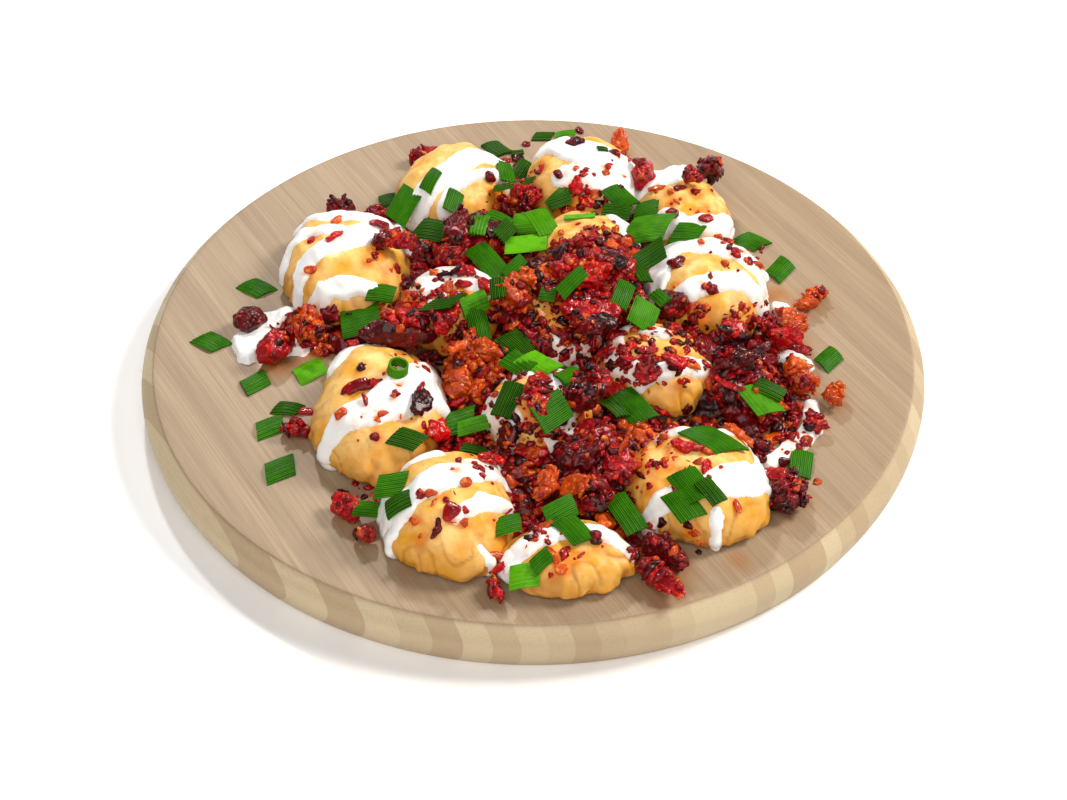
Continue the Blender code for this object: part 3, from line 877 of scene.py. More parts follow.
# %% Cream: finish
def sour_cream():
    """Sour cream: white, glossy and a little translucent, stained by fat."""
    material, tree, shader = new_material("sour_cream", Roughness=0.28,
                                          Subsurface_Weight=0.4, Subsurface_Scale=2 * MM,
                                          Specular_IOR_Level=0.5)
    shader.inputs["Subsurface Radius"].default_value = (1.0, 0.85, 0.7)
    place = add_node(tree, "ShaderNodeTexCoord").outputs["Object"]
    bleed = add_node(tree, "ShaderNodeAttribute", {"attribute_name": "fat"}).outputs["Fac"]
    spots = add_node(tree, "ShaderNodeTexNoise", {}, {
        "Vector": place, "Scale": 1 / (3 * MM), "Detail": 3}).outputs[0]
    patchy = add_node(tree, "ShaderNodeMapRange", {}, {
        0: spots, 1: 0.4, 2: 0.6, 3: 0.15, 4: 1}).outputs[0]
    bleed_by = add_node(tree, "ShaderNodeMath", {"operation": "MULTIPLY"}, {
        0: bleed, 1: patchy}).outputs[0]
    cream = add_node(tree, "ShaderNodeMix", {"data_type": "RGBA"}, {
        MIX_FACTOR: bleed_by, MIX_A: linear("FDFBF6"), MIX_B: linear("F0A070")}).outputs[MIX_RESULT]
    ripple = add_node(tree, "ShaderNodeBump", {}, {
        "Strength": 0.2, "Distance": 0.4 * MM, "Height": spots}).outputs[0]
    tree.links.new(cream, shader.inputs["Base Color"])
    tree.links.new(ripple, shader.inputs["Normal"])
    return material


cream_finish = sour_cream()
cream_groups = {
    "back": [shell for name, shell in cream_shells.items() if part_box(name)[0].y > 0],
    "front": [shell for name, shell in cream_shells.items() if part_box(name)[0].y <= 0],
    "board": pool_shells,
}
print({name: len(shells) for name, shells in cream_groups.items()}, "cream shells")

# %% [markdown]
# ## Bacon crumbs
# Thousands of crumbs from 1 to 9 mm cover the heaps and lie scattered on the dough,
# the cream and the wood. They are the same few shapes over and over, which is what
# Geometry Nodes are for: a cloud of points says where crumbs lie and which way
# up they face, and the tree sets one of the small shapes on each, turned and sized
# at random, and then makes them real mesh. A crumb has only 80 faces, so that
# thousands of them stay light. First come the shapes.

# %% Crumbs: shapes
# how long, wide and thick each shape is, as shares of its size
CRUMB_FORMS = [(1.0, 0.8, 0.65), (1.2, 0.7, 0.6), (1.0, 1.0, 0.55), (1.5, 0.5, 0.45),
               (0.9, 0.8, 0.75), (1.3, 0.9, 0.4)]


def crumb_shapes():
    """Knobbly crumbs about one unit long, in a collection of their own."""
    shapes = bpy.data.collections.new("crumb_shapes")
    for index, form in enumerate(CRUMB_FORMS):
        work = bmesh.new()
        bmesh.ops.create_icosphere(work, subdivisions=2, radius=0.5)
        for vert in work.verts:
            bump = noise.noise(vert.co * 3.6 + Vector((index * 7.3, 0, 0)))
            vert.co = Vector([c * f for c, f in zip(vert.co, form)]) * (1 + 0.6 * bump)
        name = f"crumb_{index}"
        shapes.objects.link(bpy.data.objects.new(name, mesh_from(work, name)))
    return shapes


crumb_collection = crumb_shapes()

# %% [markdown]
# The tree's inputs are its shapes, the smallest and largest size, a seed and a
# finish. Each crumb is turned to face up from the surface, spun by a random angle and
# tipped a little, and small crumbs are likelier than large ones. Each also keeps a
# random tone, by which the material browns it more or less.

# %% Crumbs: the Geometry Nodes tree
MOST_TIPPED = 0.5  # radians
SMALL_BIAS = 1.7
NEW_INPUTS = [("Geometry", "Geometry"), ("Shapes", "Collection"), ("Smallest", "Float"),
              ("Largest", "Float"), ("Seed", "Int"), ("Finish", "Material")]


def crumb_tree():
    """Points in, real crumbs out. Its inputs are named for what they set."""
    tree = bpy.data.node_groups.new("scatter_crumbs", "GeometryNodeTree")
    for name, kind in NEW_INPUTS:
        tree.interface.new_socket(name, in_out="INPUT", socket_type="NodeSocket" + kind)
    tree.interface.new_socket("Geometry", in_out="OUTPUT", socket_type="NodeSocketGeometry")
    given = add_node(tree, "NodeGroupInput").outputs
    shapes = add_node(tree, "GeometryNodeCollectionInfo", {}, {
        "Collection": given["Shapes"], "Separate Children": True, "Reset Children": True}).outputs[0]
    up = add_node(tree, "GeometryNodeInputNamedAttribute", {"data_type": "FLOAT_VECTOR"}, {
        "Name": "up"}).outputs[0]
    laid = add_node(tree, "FunctionNodeAlignRotationToVector", {"axis": "Z"}, {
        "Vector": up}).outputs[0]
    spin = add_node(tree, "FunctionNodeRandomValue", {"data_type": "FLOAT_VECTOR"}, {
        0: (-MOST_TIPPED, -MOST_TIPPED, -math.pi), 1: (MOST_TIPPED, MOST_TIPPED, math.pi),
        "Seed": given["Seed"]}).outputs[0]
    turned = add_node(tree, "FunctionNodeRotateRotation", {"rotation_space": "LOCAL"}, {
        "Rotation": laid, "Rotate By": spin}).outputs[0]
    size = add_node(tree, "FunctionNodeRandomValue", {"data_type": "FLOAT"}, {
        2: 0.0, 3: 1.0, "Seed": given["Seed"]}).outputs[1]
    skewed = add_node(tree, "ShaderNodeMath", {"operation": "POWER"}, {
        0: size, 1: SMALL_BIAS}).outputs[0]
    length = add_node(tree, "ShaderNodeMapRange", {}, {
        0: skewed, 3: given["Smallest"], 4: given["Largest"]}).outputs[0]
    crumbs = add_node(tree, "GeometryNodeInstanceOnPoints", {}, {
        "Points": given["Geometry"], "Instance": shapes, "Pick Instance": True,
        "Rotation": turned, "Scale": length}).outputs[0]
    shade = add_node(tree, "FunctionNodeRandomValue", {"data_type": "FLOAT"}, {
        2: 0.0, 3: 1.0, "Seed": given["Seed"]}).outputs[1]
    toned = add_node(tree, "GeometryNodeStoreNamedAttribute", {
        "data_type": "FLOAT", "domain": "INSTANCE"}, {
        "Geometry": crumbs, "Name": "tone", "Value": shade}).outputs[0]
    real = add_node(tree, "GeometryNodeRealizeInstances", {}, {0: toned}).outputs[0]
    painted = add_node(tree, "GeometryNodeSetMaterial", {}, {
        "Geometry": real, "Material": given["Finish"]}).outputs[0]
    add_node(tree, "NodeGroupOutput", {}, {"Geometry": painted})
    return tree


def scattered(name, spots, tree, shapes, smallest, largest, seed, finish):
    """The crumbs on a list of (place, up) spots, as one plain mesh."""
    mesh = bpy.data.meshes.new(name)
    mesh.from_pydata([place for place, up in spots], [], [])
    ups = mesh.attributes.new("up", "FLOAT_VECTOR", "POINT")
    ups.data.foreach_set("vector", [c for place, up in spots for c in up])
    obj = bpy.data.objects.new(name, mesh)
    bpy.context.scene.collection.objects.link(obj)
    modifier = obj.modifiers.new("crumbs", "NODES")
    modifier.node_group = tree
    values = {"Shapes": shapes, "Smallest": smallest, "Largest": largest, "Seed": seed,
              "Finish": finish}
    for item in tree.interface.items_tree:
        if item.in_out == "INPUT" and item.name in values:
            modifier[item.identifier] = values[item.name]
    graph = bpy.context.evaluated_depsgraph_get()
    result = bpy.data.meshes.new_from_object(obj.evaluated_get(graph))
    bpy.data.objects.remove(obj)
    return result


crumb_group = crumb_tree()
print("the crumb tree has", len(crumb_group.nodes), "nodes")

# %% [markdown]
# Most bacon pieces are not solid: each is a clump of crumbs fried together. Their
# cores were drawn in to make room, and crumbs now cling all over them, and over the
# heaps, close enough to hide the core. Each crumb is red, dark or orange with odds
# that suit its clump.

# %% Crumbs that cling to clumps and heaps
crumb_dice = random.Random(11)
# odds of a red, a dark and an orange crumb
KIND_ODDS = {"red": (0.75, 0.15, 0.1), "dark": (0.2, 0.78, 0.02), "orange": (0.1, 0.02, 0.88)}
HEAP_ODDS = {"bacon_heap_middle": (0.55, 0.35, 0.1), "bacon_heap_front": (0.35, 0.6, 0.05),
             "bacon_heap_right": (0.45, 0.5, 0.05), "bacon_heap_back_left": (0.5, 0.45, 0.05),
             "bacon_heap_inner": (0.12, 0.04, 0.84)}
CLUMP_SPACING = 2.6 * MM
HEAP_SPACING = 2.7 * MM
UNDERNEATH = -0.35  # faces that point further down than this take no crumbs
# the smallest and the largest crumb of each layer
CLUMP_SIZES = (2.2 * MM, 6 * MM)
HEAP_SIZES = (2.5 * MM, 8.5 * MM)
CORE_TONE = 0.5


def surface_spots(mesh, spacing, dice):
    """Random places on the upper side of a surface, about one spacing apart."""
    faces = [face for face in mesh.polygons if face.normal.z > UNDERNEATH]
    areas = [face.area for face in faces]
    picked = dice.choices(faces, areas, k=int(sum(areas) / spacing ** 2))
    return [(face.center.copy(), face.normal.copy()) for face in picked]


def new_spots():
    """An empty list of spots for each kind of crumb."""
    return {"red": [], "dark": [], "orange": []}


def share_out(spots, into, odds, dice):
    """Deals spots to the red, dark and orange lists by their odds."""
    for spot in spots:
        into[dice.choices(list(into), odds)[0]].append(spot)


clump_spots = new_spots()
for kind, kind_names in KIND_NAMES.items():
    for name in kind_names:
        if name.removeprefix("bacon_") not in WHOLE_PIECES:
            spots = surface_spots(bacon_meshes[name], CLUMP_SPACING, crumb_dice)
            share_out(spots, clump_spots, KIND_ODDS[kind], crumb_dice)
heap_spots = new_spots()
for name, odds in HEAP_ODDS.items():
    spots = surface_spots(heap_meshes[name], HEAP_SPACING, crumb_dice)
    share_out(spots, heap_spots, odds, crumb_dice)


def crumb_layer(name, spots, sizes, seed):
    """One mesh of crumbs for each kind."""
    return {kind: scattered(name + kind, spots[kind], crumb_group, crumb_collection,
                            *sizes, seed + index, FINISHES[kind])
            for index, kind in enumerate(spots)}


clump_crumbs = crumb_layer("clump_", clump_spots, CLUMP_SIZES, 20)
heap_crumbs = crumb_layer("heap_", heap_spots, HEAP_SIZES, 30)
for mesh in [*bacon_meshes.values(), *heap_meshes.values()]:
    give_attribute(mesh, "tone", np.full(len(mesh.vertices), CORE_TONE))
for kind, kind_names in KIND_NAMES.items():
    pieces = joined([bacon_meshes[name].copy() for name in kind_names] +
                    [clump_crumbs[kind].copy()])
    finish_piece("bacon_pieces_" + kind, pieces, FINISHES[kind], kind_names)
    finish_piece("bacon_heap_crumbs_" + kind, heap_crumbs[kind].copy(), FINISHES[kind])
cores = joined([heap_meshes[name].copy() for name in heap_names])
finish_piece("bacon_heap_cores", cores, dark_bacon, heap_names)

# %% [markdown]
# The heaps don't stop at an edge. Crumbs have rolled down and filled the gaps
# between the dumplings. Deep in the gaps they pack into one rough bed, which sinks
# towards the ring of outer dumplings. Only its top shows, between other crumbs, so it
# is a single sheet with the relief of packed crumbs.

# %% The bed of crumbs in the gaps
# x and y of the ring's corners in mm, which run through the outer dumplings
RING = [(-35, 88), (22, 94), (64, 74), (74, 22), (104, -4), (104, -52), (84, -78), (61, -90),
        (36, -116), (8, -124), (-31, -104), (-59, -50), (-50, -16), (-92, -4), (-82, 36)]
BED_HEIGHT = 14 * MM
BED_SLOPE = 0.55
BED_GRID = 1.2 * MM
BED_SIZE = (210 * MM, 220 * MM)
BED_MIDDLE = (6 * MM, -15 * MM)
BED_WALL = 1 * MM
BED_TONE = 0.4


def inside_ring(x, y):
    """Whether a plan place lies inside the ring, by counting crossings."""
    inside = False
    for (x0, y0), (x1, y1) in zip(RING, RING[1:] + RING[:1]):
        if (y0 > y / MM) != (y1 > y / MM):
            crossing = x0 + (y / MM - y0) / (y1 - y0) * (x1 - x0)
            inside = inside != (x / MM < crossing)
    return inside


def depth_in_ring(x, y):
    """How far inside the ring a plan place lies; below 0 is outside."""
    place = Vector((x, y)) / MM
    lines = zip(RING, RING[1:] + RING[:1])
    feet = [geometry.intersect_point_line(place, Vector(a), Vector(b))[0] for a, b in lines]
    nearest = min((place - foot.to_2d()).length for foot in feet)
    return nearest * MM if inside_ring(x, y) else -nearest * MM


def gap_limit(x, y):
    """How high the gaps are filled: most in the middle of the plate."""
    hill = math.exp(-(x / (42 * MM)) ** 2 - ((y + 8 * MM) / (62 * MM)) ** 2)
    return min(BED_SLOPE * depth_in_ring(x, y), BED_HEIGHT * (0.35 + hill))


def bed_of_crumbs():
    """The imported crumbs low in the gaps: one rough sheet that sinks at its edges."""
    work = bmesh.new()
    columns, rows = (int(side / BED_GRID) for side in BED_SIZE)
    bmesh.ops.create_grid(work, x_segments=columns, y_segments=rows, size=0.5)
    for vert in work.verts:
        x = vert.co.x * BED_SIZE[0] + BED_MIDDLE[0]
        y = vert.co.y * BED_SIZE[1] + BED_MIDDLE[1]
        rise = gap_limit(x, y)
        rough = 2 * noise.noise(Vector((x, y, 0)) / (7 * MM))
        near = noise.voronoi(Vector((x, y, 0)) / (3 * MM))[0][0]
        vert.co = (x, y, BOARD_TOP + rise - 1.5 * MM + (rough - 2 * near) * MM * (rise > 0))
    outside = [face for face in work.faces
               if all(vert.co.z < BOARD_TOP - 1 * MM for vert in face.verts)]
    bmesh.ops.delete(work, geom=outside, context="FACES")
    return thickened(mesh_from(work, "bed"), BED_WALL)


bed = bed_of_crumbs()
give_attribute(bed, "tone", np.full(len(bed.vertices), BED_TONE))
finish_piece("bacon_bed", bed.copy(), dark_bacon)

# %% [markdown]
# Two layers of crumbs then fall on the bed, the second on top of the first. Only low
# places inside the ring take any. How far above the bed's own level a crumb may lie
# is drawn at random, so that the layers thin out upwards instead of ending at a line.

# %% Crumbs that fill the gaps
GAP_LAYERS = 2
GAP_CRUMBS = 800
GAP_ACROSS = (-95, 108)  # mm
GAP_DEEP = (-126, 96)
GAP_ODDS = (0.5, 0.34, 0.16)
GAP_SPARE = 6 * MM
GAP_SIZES = (2.6 * MM, 7.5 * MM)
# everything that lies on the plate so far, for what comes next to land on
lying = [board_mesh, *solid_food, *cream_shells.values(), *pool_shells,
         *clump_crumbs.values(), *heap_crumbs.values(), bed]
gap_layers = []
for layer in range(GAP_LAYERS):
    tree = search_tree(lying)
    spots = []
    while len(spots) < GAP_CRUMBS:
        x = crumb_dice.uniform(*GAP_ACROSS) * MM
        y = crumb_dice.uniform(*GAP_DEEP) * MM
        place, up = under(tree, x, y)
        spare = GAP_SPARE * crumb_dice.random() ** 0.6
        if inside_ring(x, y) and place.z < BOARD_TOP + gap_limit(x, y) + spare:
            spots.append((place, up))
    dealt = new_spots()
    share_out(spots, dealt, GAP_ODDS, crumb_dice)
    gap_layers.append(crumb_layer(f"gap_{layer}_", dealt, GAP_SIZES, 40 + 3 * layer))
    lying += gap_layers[-1].values()
for kind in FINISHES:
    finish_piece("bacon_gap_crumbs_" + kind,
                 joined([layer[kind].copy() for layer in gap_layers]),
                 FINISHES[kind])

# %% [markdown]
# Larger bits of bacon lie on top: wet, rounded lumps, and strips cut from a rasher.
# They are too few and too different for a scatter, so each has its own place, size
# and bearing in a list.

# %% Bacon bits: places
# x, y on the sighting level, length, width in mm and bearing in degrees
CHUNKS = {
    "red": [
        (-67, -42, 15, 5, 8), (-44, -43, 6, 2.5, 80), (-37, -68, 10, 9, 0), (-16, -84, 9, 6, 10),
        (-1, -80, 12, 10, -20), (-8, -92, 11, 8, 0), (-32, -105, 2.5, 2.5, 0),
        (-30, -111, 7, 6, 50), (-5, -122, 8, 6, 0), (-2, -117, 9, 4, 0), (1, -123, 3, 3, 0),
        (-12, -139, 8, 3.5, 10), (-87, -57, 6, 4, 0), (29, -23, 10, 4, -40), (37, -27, 7, 5, 0),
        (45, -22, 9, 4, -10), (48, -27, 16, 3, -10), (57, -29, 9, 6, -10), (45, -35, 10, 8, 35),
        (26, -38, 10, 8, 0), (32, -45, 10, 7, -20), (23, -69, 14, 9, 0), (32, -88, 14, 12, 60),
        (65, -88, 7, 4, 70), (58, -77, 12, 4.5, -30), (77, -43, 12, 3.5, -25),
        (78, -37, 4, 4, 0), (67, -16, 10, 9, 0),
        (102, -13, 14, 8, 20), (106, -21, 12, 5, -10), (103, -59, 4, 3, 0), (103, -75, 3, 3, 0),
        (91, -93, 8, 7, 0), (-84, 52, 10, 3.5, 35), (-94, 49, 4, 3, 70), (-66, 60, 9, 4, -10),
        (-33, 39, 12, 7, 0), (-49, 25, 7, 5, 10), (-28, 28, 9, 6, -10), (-29, 20, 8, 3, 0),
        (-19, 18, 8, 7, 0), (-49, -3, 12, 10, 0), (-58, -1, 13, 4, -60), (-72, -18, 5, 4, 0),
        (-91, -17, 8, 6, 0), (47, 104, 6, 5, 0), (33, 101, 3, 3, 0), (19, 87, 7, 6, 60),
        (15, 84, 4, 3, 0), (23, 76, 7, 5, 0), (-6, 85, 8, 8, 0), (0, 77, 7, 4, 70),
        (22, 48, 9, 7, 0), (20, 35, 10, 9, 0), (42, 29, 9, 7, 0), (71, 18, 3, 3, 0),
        (66, 6, 8, 2.5, -8), (60, 67, 6, 5, 0), (74, 64, 6, 4, 0), (82, 48, 5, 4, 0),
        (57, -8, 7, 5, 0), (64, -10, 8, 6, 0), (80, -9, 10, 8, 0), (97, -6, 12, 8, 0),
        (29, -24, 11, 4, -35), (19, -27, 6, 4, 0), (33, -12, 9, 4, -10), (38, -20, 8, 4, 10),
        (17, -9, 9, 3.5, 5), (-8, -30, 9, 6, 20), (1, -26, 8, 5, 60), (24, 27, 16, 14, 70),
        (37, 29, 12, 11, 0), (14, 30, 12, 10, 40), (81, -8, 11, 7, -30),
    ],
    "dark": [
        (-44, -52, 12, 8, 80), (-9, -71, 10, 8, 60), (-35, -120, 8, 3, 70), (-3, -111, 8, 5, -20),
        (23, -124, 5, 5, 0), (18, -83, 15, 11, 0), (23, -107, 11, 8, 0),
        (46, -86, 3, 3, 0), (82, -65, 12, 8, -65), (68, -53, 16, 12, 0), (77, -55, 8, 7, 0),
        (69, -22, 15, 8, -15), (84, -28, 19, 9, -5), (93, -28, 9, 6, -20), (77, -14, 10, 7, 0),
        (92, -19, 6, 3, 0), (93, -62, 7, 5, 0), (87, -84, 3.5, 3, 0), (94, -85, 4.5, 4, 0),
        (23, -125, 5, 5, 0), (37, -127, 5, 5, 0), (-65, 50, 8, 5, 0), (-33, 56, 10, 9, 60),
        (-46, 37, 14, 11, 0), (-52, 20, 7, 6, 80), (-30, 13, 8, 3, 10), (1, 29, 15, 10, 0),
        (5, 16, 12, 8, 0), (-82, 1, 8, 7, 30), (-42, -25, 10, 4, 0), (-78, -18, 9, 7, 0),
        (-13, -23, 8, 6, 0), (-17, -1, 8, 5, 0), (-6, -4, 14, 7, 0), (21, 128, 6, 3, -60),
        (19, 119, 8, 6, 0), (-3, 118, 4, 3, 0), (36, 112, 5, 4, 0), (11, 96, 5.5, 3.5, -60),
        (28, 74, 5, 5, 0), (-19, 94, 5, 5, 0), (-7, 107, 6, 5, 0), (-6, 76, 8, 4, 0),
        (-17, 55, 9, 8, 0), (13, 39, 8, 8, 0), (31, 34, 13, 11, 0), (5, 14, 7, 5, 0),
        (28, -4, 10, 7, 0), (60, 33, 6.5, 6.5, 0), (11, -11, 10, 5, -20), (-5, -5, 12, 8, 0),
        (-7, -18, 11, 8, 30), (3, -19, 9, 7, 0), (-2, -12, 12, 9, -20), (24, -7, 9, 7, 0),
    ],
    "orange": [
        (-74, -58, 5, 4, 30), (-58, -58, 5, 2.5, 20), (-25, -96, 4, 3.5, 0), (-43, -116, 3, 3, 0),
        (-14, -133, 11, 3, 8), (7, -133, 8, 3, -65), (10, -140, 5, 4, 0), (63, -30, 7, 4, -10),
        (16, -97, 13, 7, 0), (43, -72, 11, 7, 0), (75, -108, 6, 3, -60), (78, -69, 15, 4, -40),
        (103, -31, 9, 8, 0), (107, -39, 10, 8, 0), (91, -73, 10, 6, 10), (26, -117, 7, 7, 0),
        (38, -131, 5, 4, 0), (-84, 62, 6, 4, 60), (-93, 29, 5, 4, 0), (-41, 27, 4, 4, 0),
        (-35, 18, 5, 4, 90), (-8, 14, 17, 11, -25), (-50, 11, 7, 7, 0), (-84, -22, 7, 6, 70),
        (-28, -19, 11, 6, 10), (-18, -21, 13, 9, 0), (-4, 4, 9, 6, 0), (19, 100, 3, 2.5, 60),
        (54, 85, 8, 3, -5), (60, 83, 3, 3, 0), (27, 82, 4, 4, 0), (16, 70, 8, 4, 0),
        (12, 54, 2.5, 2.5, 0), (31, 54, 5, 5, 0), (33, 45, 7, 6, 0), (39, 48, 5, 4, 0),
        (9, 31, 7, 4, 0), (78, 51, 4, 3, 0), (71, 48, 3, 3, 0), (102, 0, 9, 7, 0),
        (24, -17, 5, 4, 30), (14, -4, 10, 3, 0), (20, -2, 8, 3, 30), (3, 24, 15, 12, 20),
    ],
}
print({kind: len(places) for kind, places in CHUNKS.items()}, "bits of bacon")

# %% [markdown]
# A bit is a fine icosphere with squared-off sides, drawn out to its length, bent a
# little, and given lumps and blisters. It faces the way the food under it does, and
# sinks in by a share of its width.

# %% Bacon bits: shapes
BIT_THICK = 0.5  # a bit's thickness as a share of its width
THINNEST_BIT = 1.6 * MM
LARGE_BIT = 6 * MM
BIT_LIFT = 0.14  # how high a bit's middle stands, as a share of its width


def bacon_bit(length, width, tone, dice):
    """One blistered lump or strip, flat on its own plane with its length along X."""
    work = bmesh.new()
    fine = 4 if length > LARGE_BIT else 3
    bmesh.ops.create_icosphere(work, subdivisions=fine, radius=0.5)
    offset = Vector((dice.uniform(0, 90), dice.uniform(0, 90), 0))
    size = Vector((length, width, max(width * BIT_THICK, THINNEST_BIT)))
    bend = dice.uniform(-0.25, 0.25)
    for vert in work.verts:
        boxy = Vector([math.copysign(abs(2 * c) ** 0.8, c) / 2 for c in vert.co])
        place = Vector([c * s for c, s in zip(boxy, size)])
        lumps = noise.noise(place / (3.2 * MM) + offset)
        near = noise.voronoi(place / (1.9 * MM) + offset)[0][0]
        place *= 1 + 0.5 * lumps + 0.3 * (0.5 - near)
        place.z += bend * place.x ** 2 / length
        place.y += 1.5 * bend * place.x ** 2 / length
        vert.co = place
    mesh = mesh_from(work, "bit")
    give_attribute(mesh, "tone", np.full(len(mesh.vertices), tone))
    return mesh


def lay(mesh, place, up, bearing):
    """Stands a mesh's own plane on a place, facing up, its length on the bearing."""
    heading = Vector((math.cos(bearing), math.sin(bearing), 0))
    along = (heading - up * heading.dot(up)).normalized()
    across = up.cross(along)
    turn = Matrix((along, across, up)).transposed().to_4x4()
    mesh.transform(Matrix.Translation(place) @ turn)
    return mesh


bit_dice = random.Random(23)
bit_tree = search_tree(lying)
bit_meshes = {kind: [] for kind in CHUNKS}
bit_places = []
for kind, places in CHUNKS.items():
    for x, y, length, width, bearing in places:
        place, normal = sighted(bit_tree, x, y)
        up = (normal + 0.6 * UP).normalized()
        bit = bacon_bit(length * MM, width * MM, bit_dice.random(), bit_dice)
        bit_places.append(place)
        middle = place + BIT_LIFT * width * MM * up
        bit_meshes[kind].append(lay(bit, middle, up, math.radians(bearing)))
for kind, meshes in bit_meshes.items():
    bits = joined(meshes)
    lying.append(bits)
    finish_piece("bacon_bits_" + kind, bits.copy(), FINISHES[kind])

# %% [markdown]
# Last come the loose crumbs, which are strewn by hand. So they are a list of
# handfuls, each with a middle, a reach and a count, and each crumb lands where its
# line of sight meets the food.

# %% Crumbs: handfuls
# x, y and reach in mm, then how many red, dark and orange crumbs
HANDFULS = [
    (49, -27, 20, 60, 16, 12), (71, 20, 18, 4, 0, 2), (66, -5, 14, 40, 25, 10),
    (90, -5, 14, 50, 30, 15), (98, -45, 14, 35, 10, 14), (95, -68, 12, 25, 8, 8),
    (22, 60, 18, 14, 1, 8), (22, 76, 12, 20, 6, 8), (-5, 100, 10, 16, 6, 5),
    (-10, 76, 14, 24, 14, 6), (-35, 40, 14, 30, 22, 10), (-58, 30, 14, 6, 1, 5),
    (-90, -8, 16, 30, 14, 14), (-45, 5, 16, 26, 16, 14), (-22, -15, 18, 30, 20, 30),
    (-55, -30, 14, 8, 4, 10), (-15, -78, 16, 22, 10, 16), (10, -70, 16, 36, 30, 12),
    (40, -75, 16, 40, 14, 20), (60, -90, 14, 6, 0, 5), (30, -100, 14, 26, 16, 8),
    (0, -118, 12, 14, 4, 8), (12, -128, 16, 10, 2, 4), (-31, -106, 20, 6, 0, 6),
    (48, -128, 14, 20, 12, 4), (98, -98, 10, 16, 10, 4), (-66, -103, 10, 12, 4, 2),
    (-59, -60, 18, 4, 0, 6), (35, 100, 16, 8, 2, 6), (64, 78, 16, 8, 0, 6),
    (85, 40, 12, 10, 2, 8), (5, 15, 26, 50, 40, 16), (20, -30, 20, 60, 50, 12),
    (16, -14, 18, 60, 16, 24), (-4, -14, 12, 40, 50, 10), (-32, 8, 20, 40, 24, 24),
    (2, -52, 20, 46, 24, 16), (25, 38, 20, 30, 10, 20),
]
STEEPEST_HOLD = 0.1  # a crumb slides off a face whose normal rises less than this
LOOSE_SIZES = (1.2 * MM, 5 * MM)
loose_tree = search_tree(lying)


def spots_in(middle_x, middle_y, reach, count, dice):
    """Random places in a round handful, denser in the middle."""
    spots = []
    for _ in range(count):
        away = reach * dice.random() ** 0.75
        bearing = dice.uniform(0, 2 * math.pi)
        place, up = sighted(loose_tree, middle_x + away * math.cos(bearing),
                            middle_y + away * math.sin(bearing))
        if up.z > STEEPEST_HOLD:
            spots.append((place, up))
    return spots


loose_spots = new_spots()
for x, y, reach, *counts in HANDFULS:
    for kind, count in zip(loose_spots, counts):
        loose_spots[kind] += spots_in(x, y, reach, count, crumb_dice)
loose_crumbs = crumb_layer("loose_", loose_spots, LOOSE_SIZES, 60)
for kind, mesh in loose_crumbs.items():
    finish_piece("bacon_crumbs_" + kind, mesh.copy(), FINISHES[kind])

# %% [markdown]
# Each bit of bacon leaves a halo of orange fat in the cream and in the dough. The
# nearest bit or crumb gives how strong the fat is at a point, and noise makes it
# patchy. The materials read it as an attribute.

# %% Fat around the bacon
FAT_REACH = 3.5 * MM
DOUGH_FAT = 1.4  # how readily the dough takes up fat
CREAM_FAT = 0.9
fat_places = [place for spots in loose_spots.values() for place, up in spots]
fat_places += [place for spots in clump_spots.values() for place, up in spots]
fat_places += bit_places
fat_tree = KDTree(len(fat_places))
for index, place in enumerate(fat_places):
    fat_tree.insert(place, index)
fat_tree.balance()


def give_fat(mesh, strength):
    """Stores how much bacon fat has run to each point, 0 to 1."""
    fat = []
    for point in points_of(mesh):
        _, _, away = fat_tree.find(point)
        patchy = max(0, 0.55 + 1.5 * noise.noise(Vector(point) / (6 * MM)))
        fat.append(min(1, strength * patchy * math.exp(-(away / FAT_REACH) ** 2)))
    give_attribute(mesh, "fat", fat)
    return mesh


for mesh in dumpling_meshes.values():
    give_fat(mesh, DOUGH_FAT)
for name, shells in cream_groups.items():
    cream = give_fat(joined([shell.copy() for shell in shells]), CREAM_FAT)
    finish_piece("sour_cream_" + name, cream, cream_finish)
print(len(fat_places), "bits and crumbs bleed fat")

# %% [markdown]
# ## Spring onion
# The green leaves of spring onion are hollow tubes. Cut slantwise and opened, each
# slice is a small curved lozenge with fine ribs along it. The slices are large and
# easy to tell apart, so each has its own place and size.

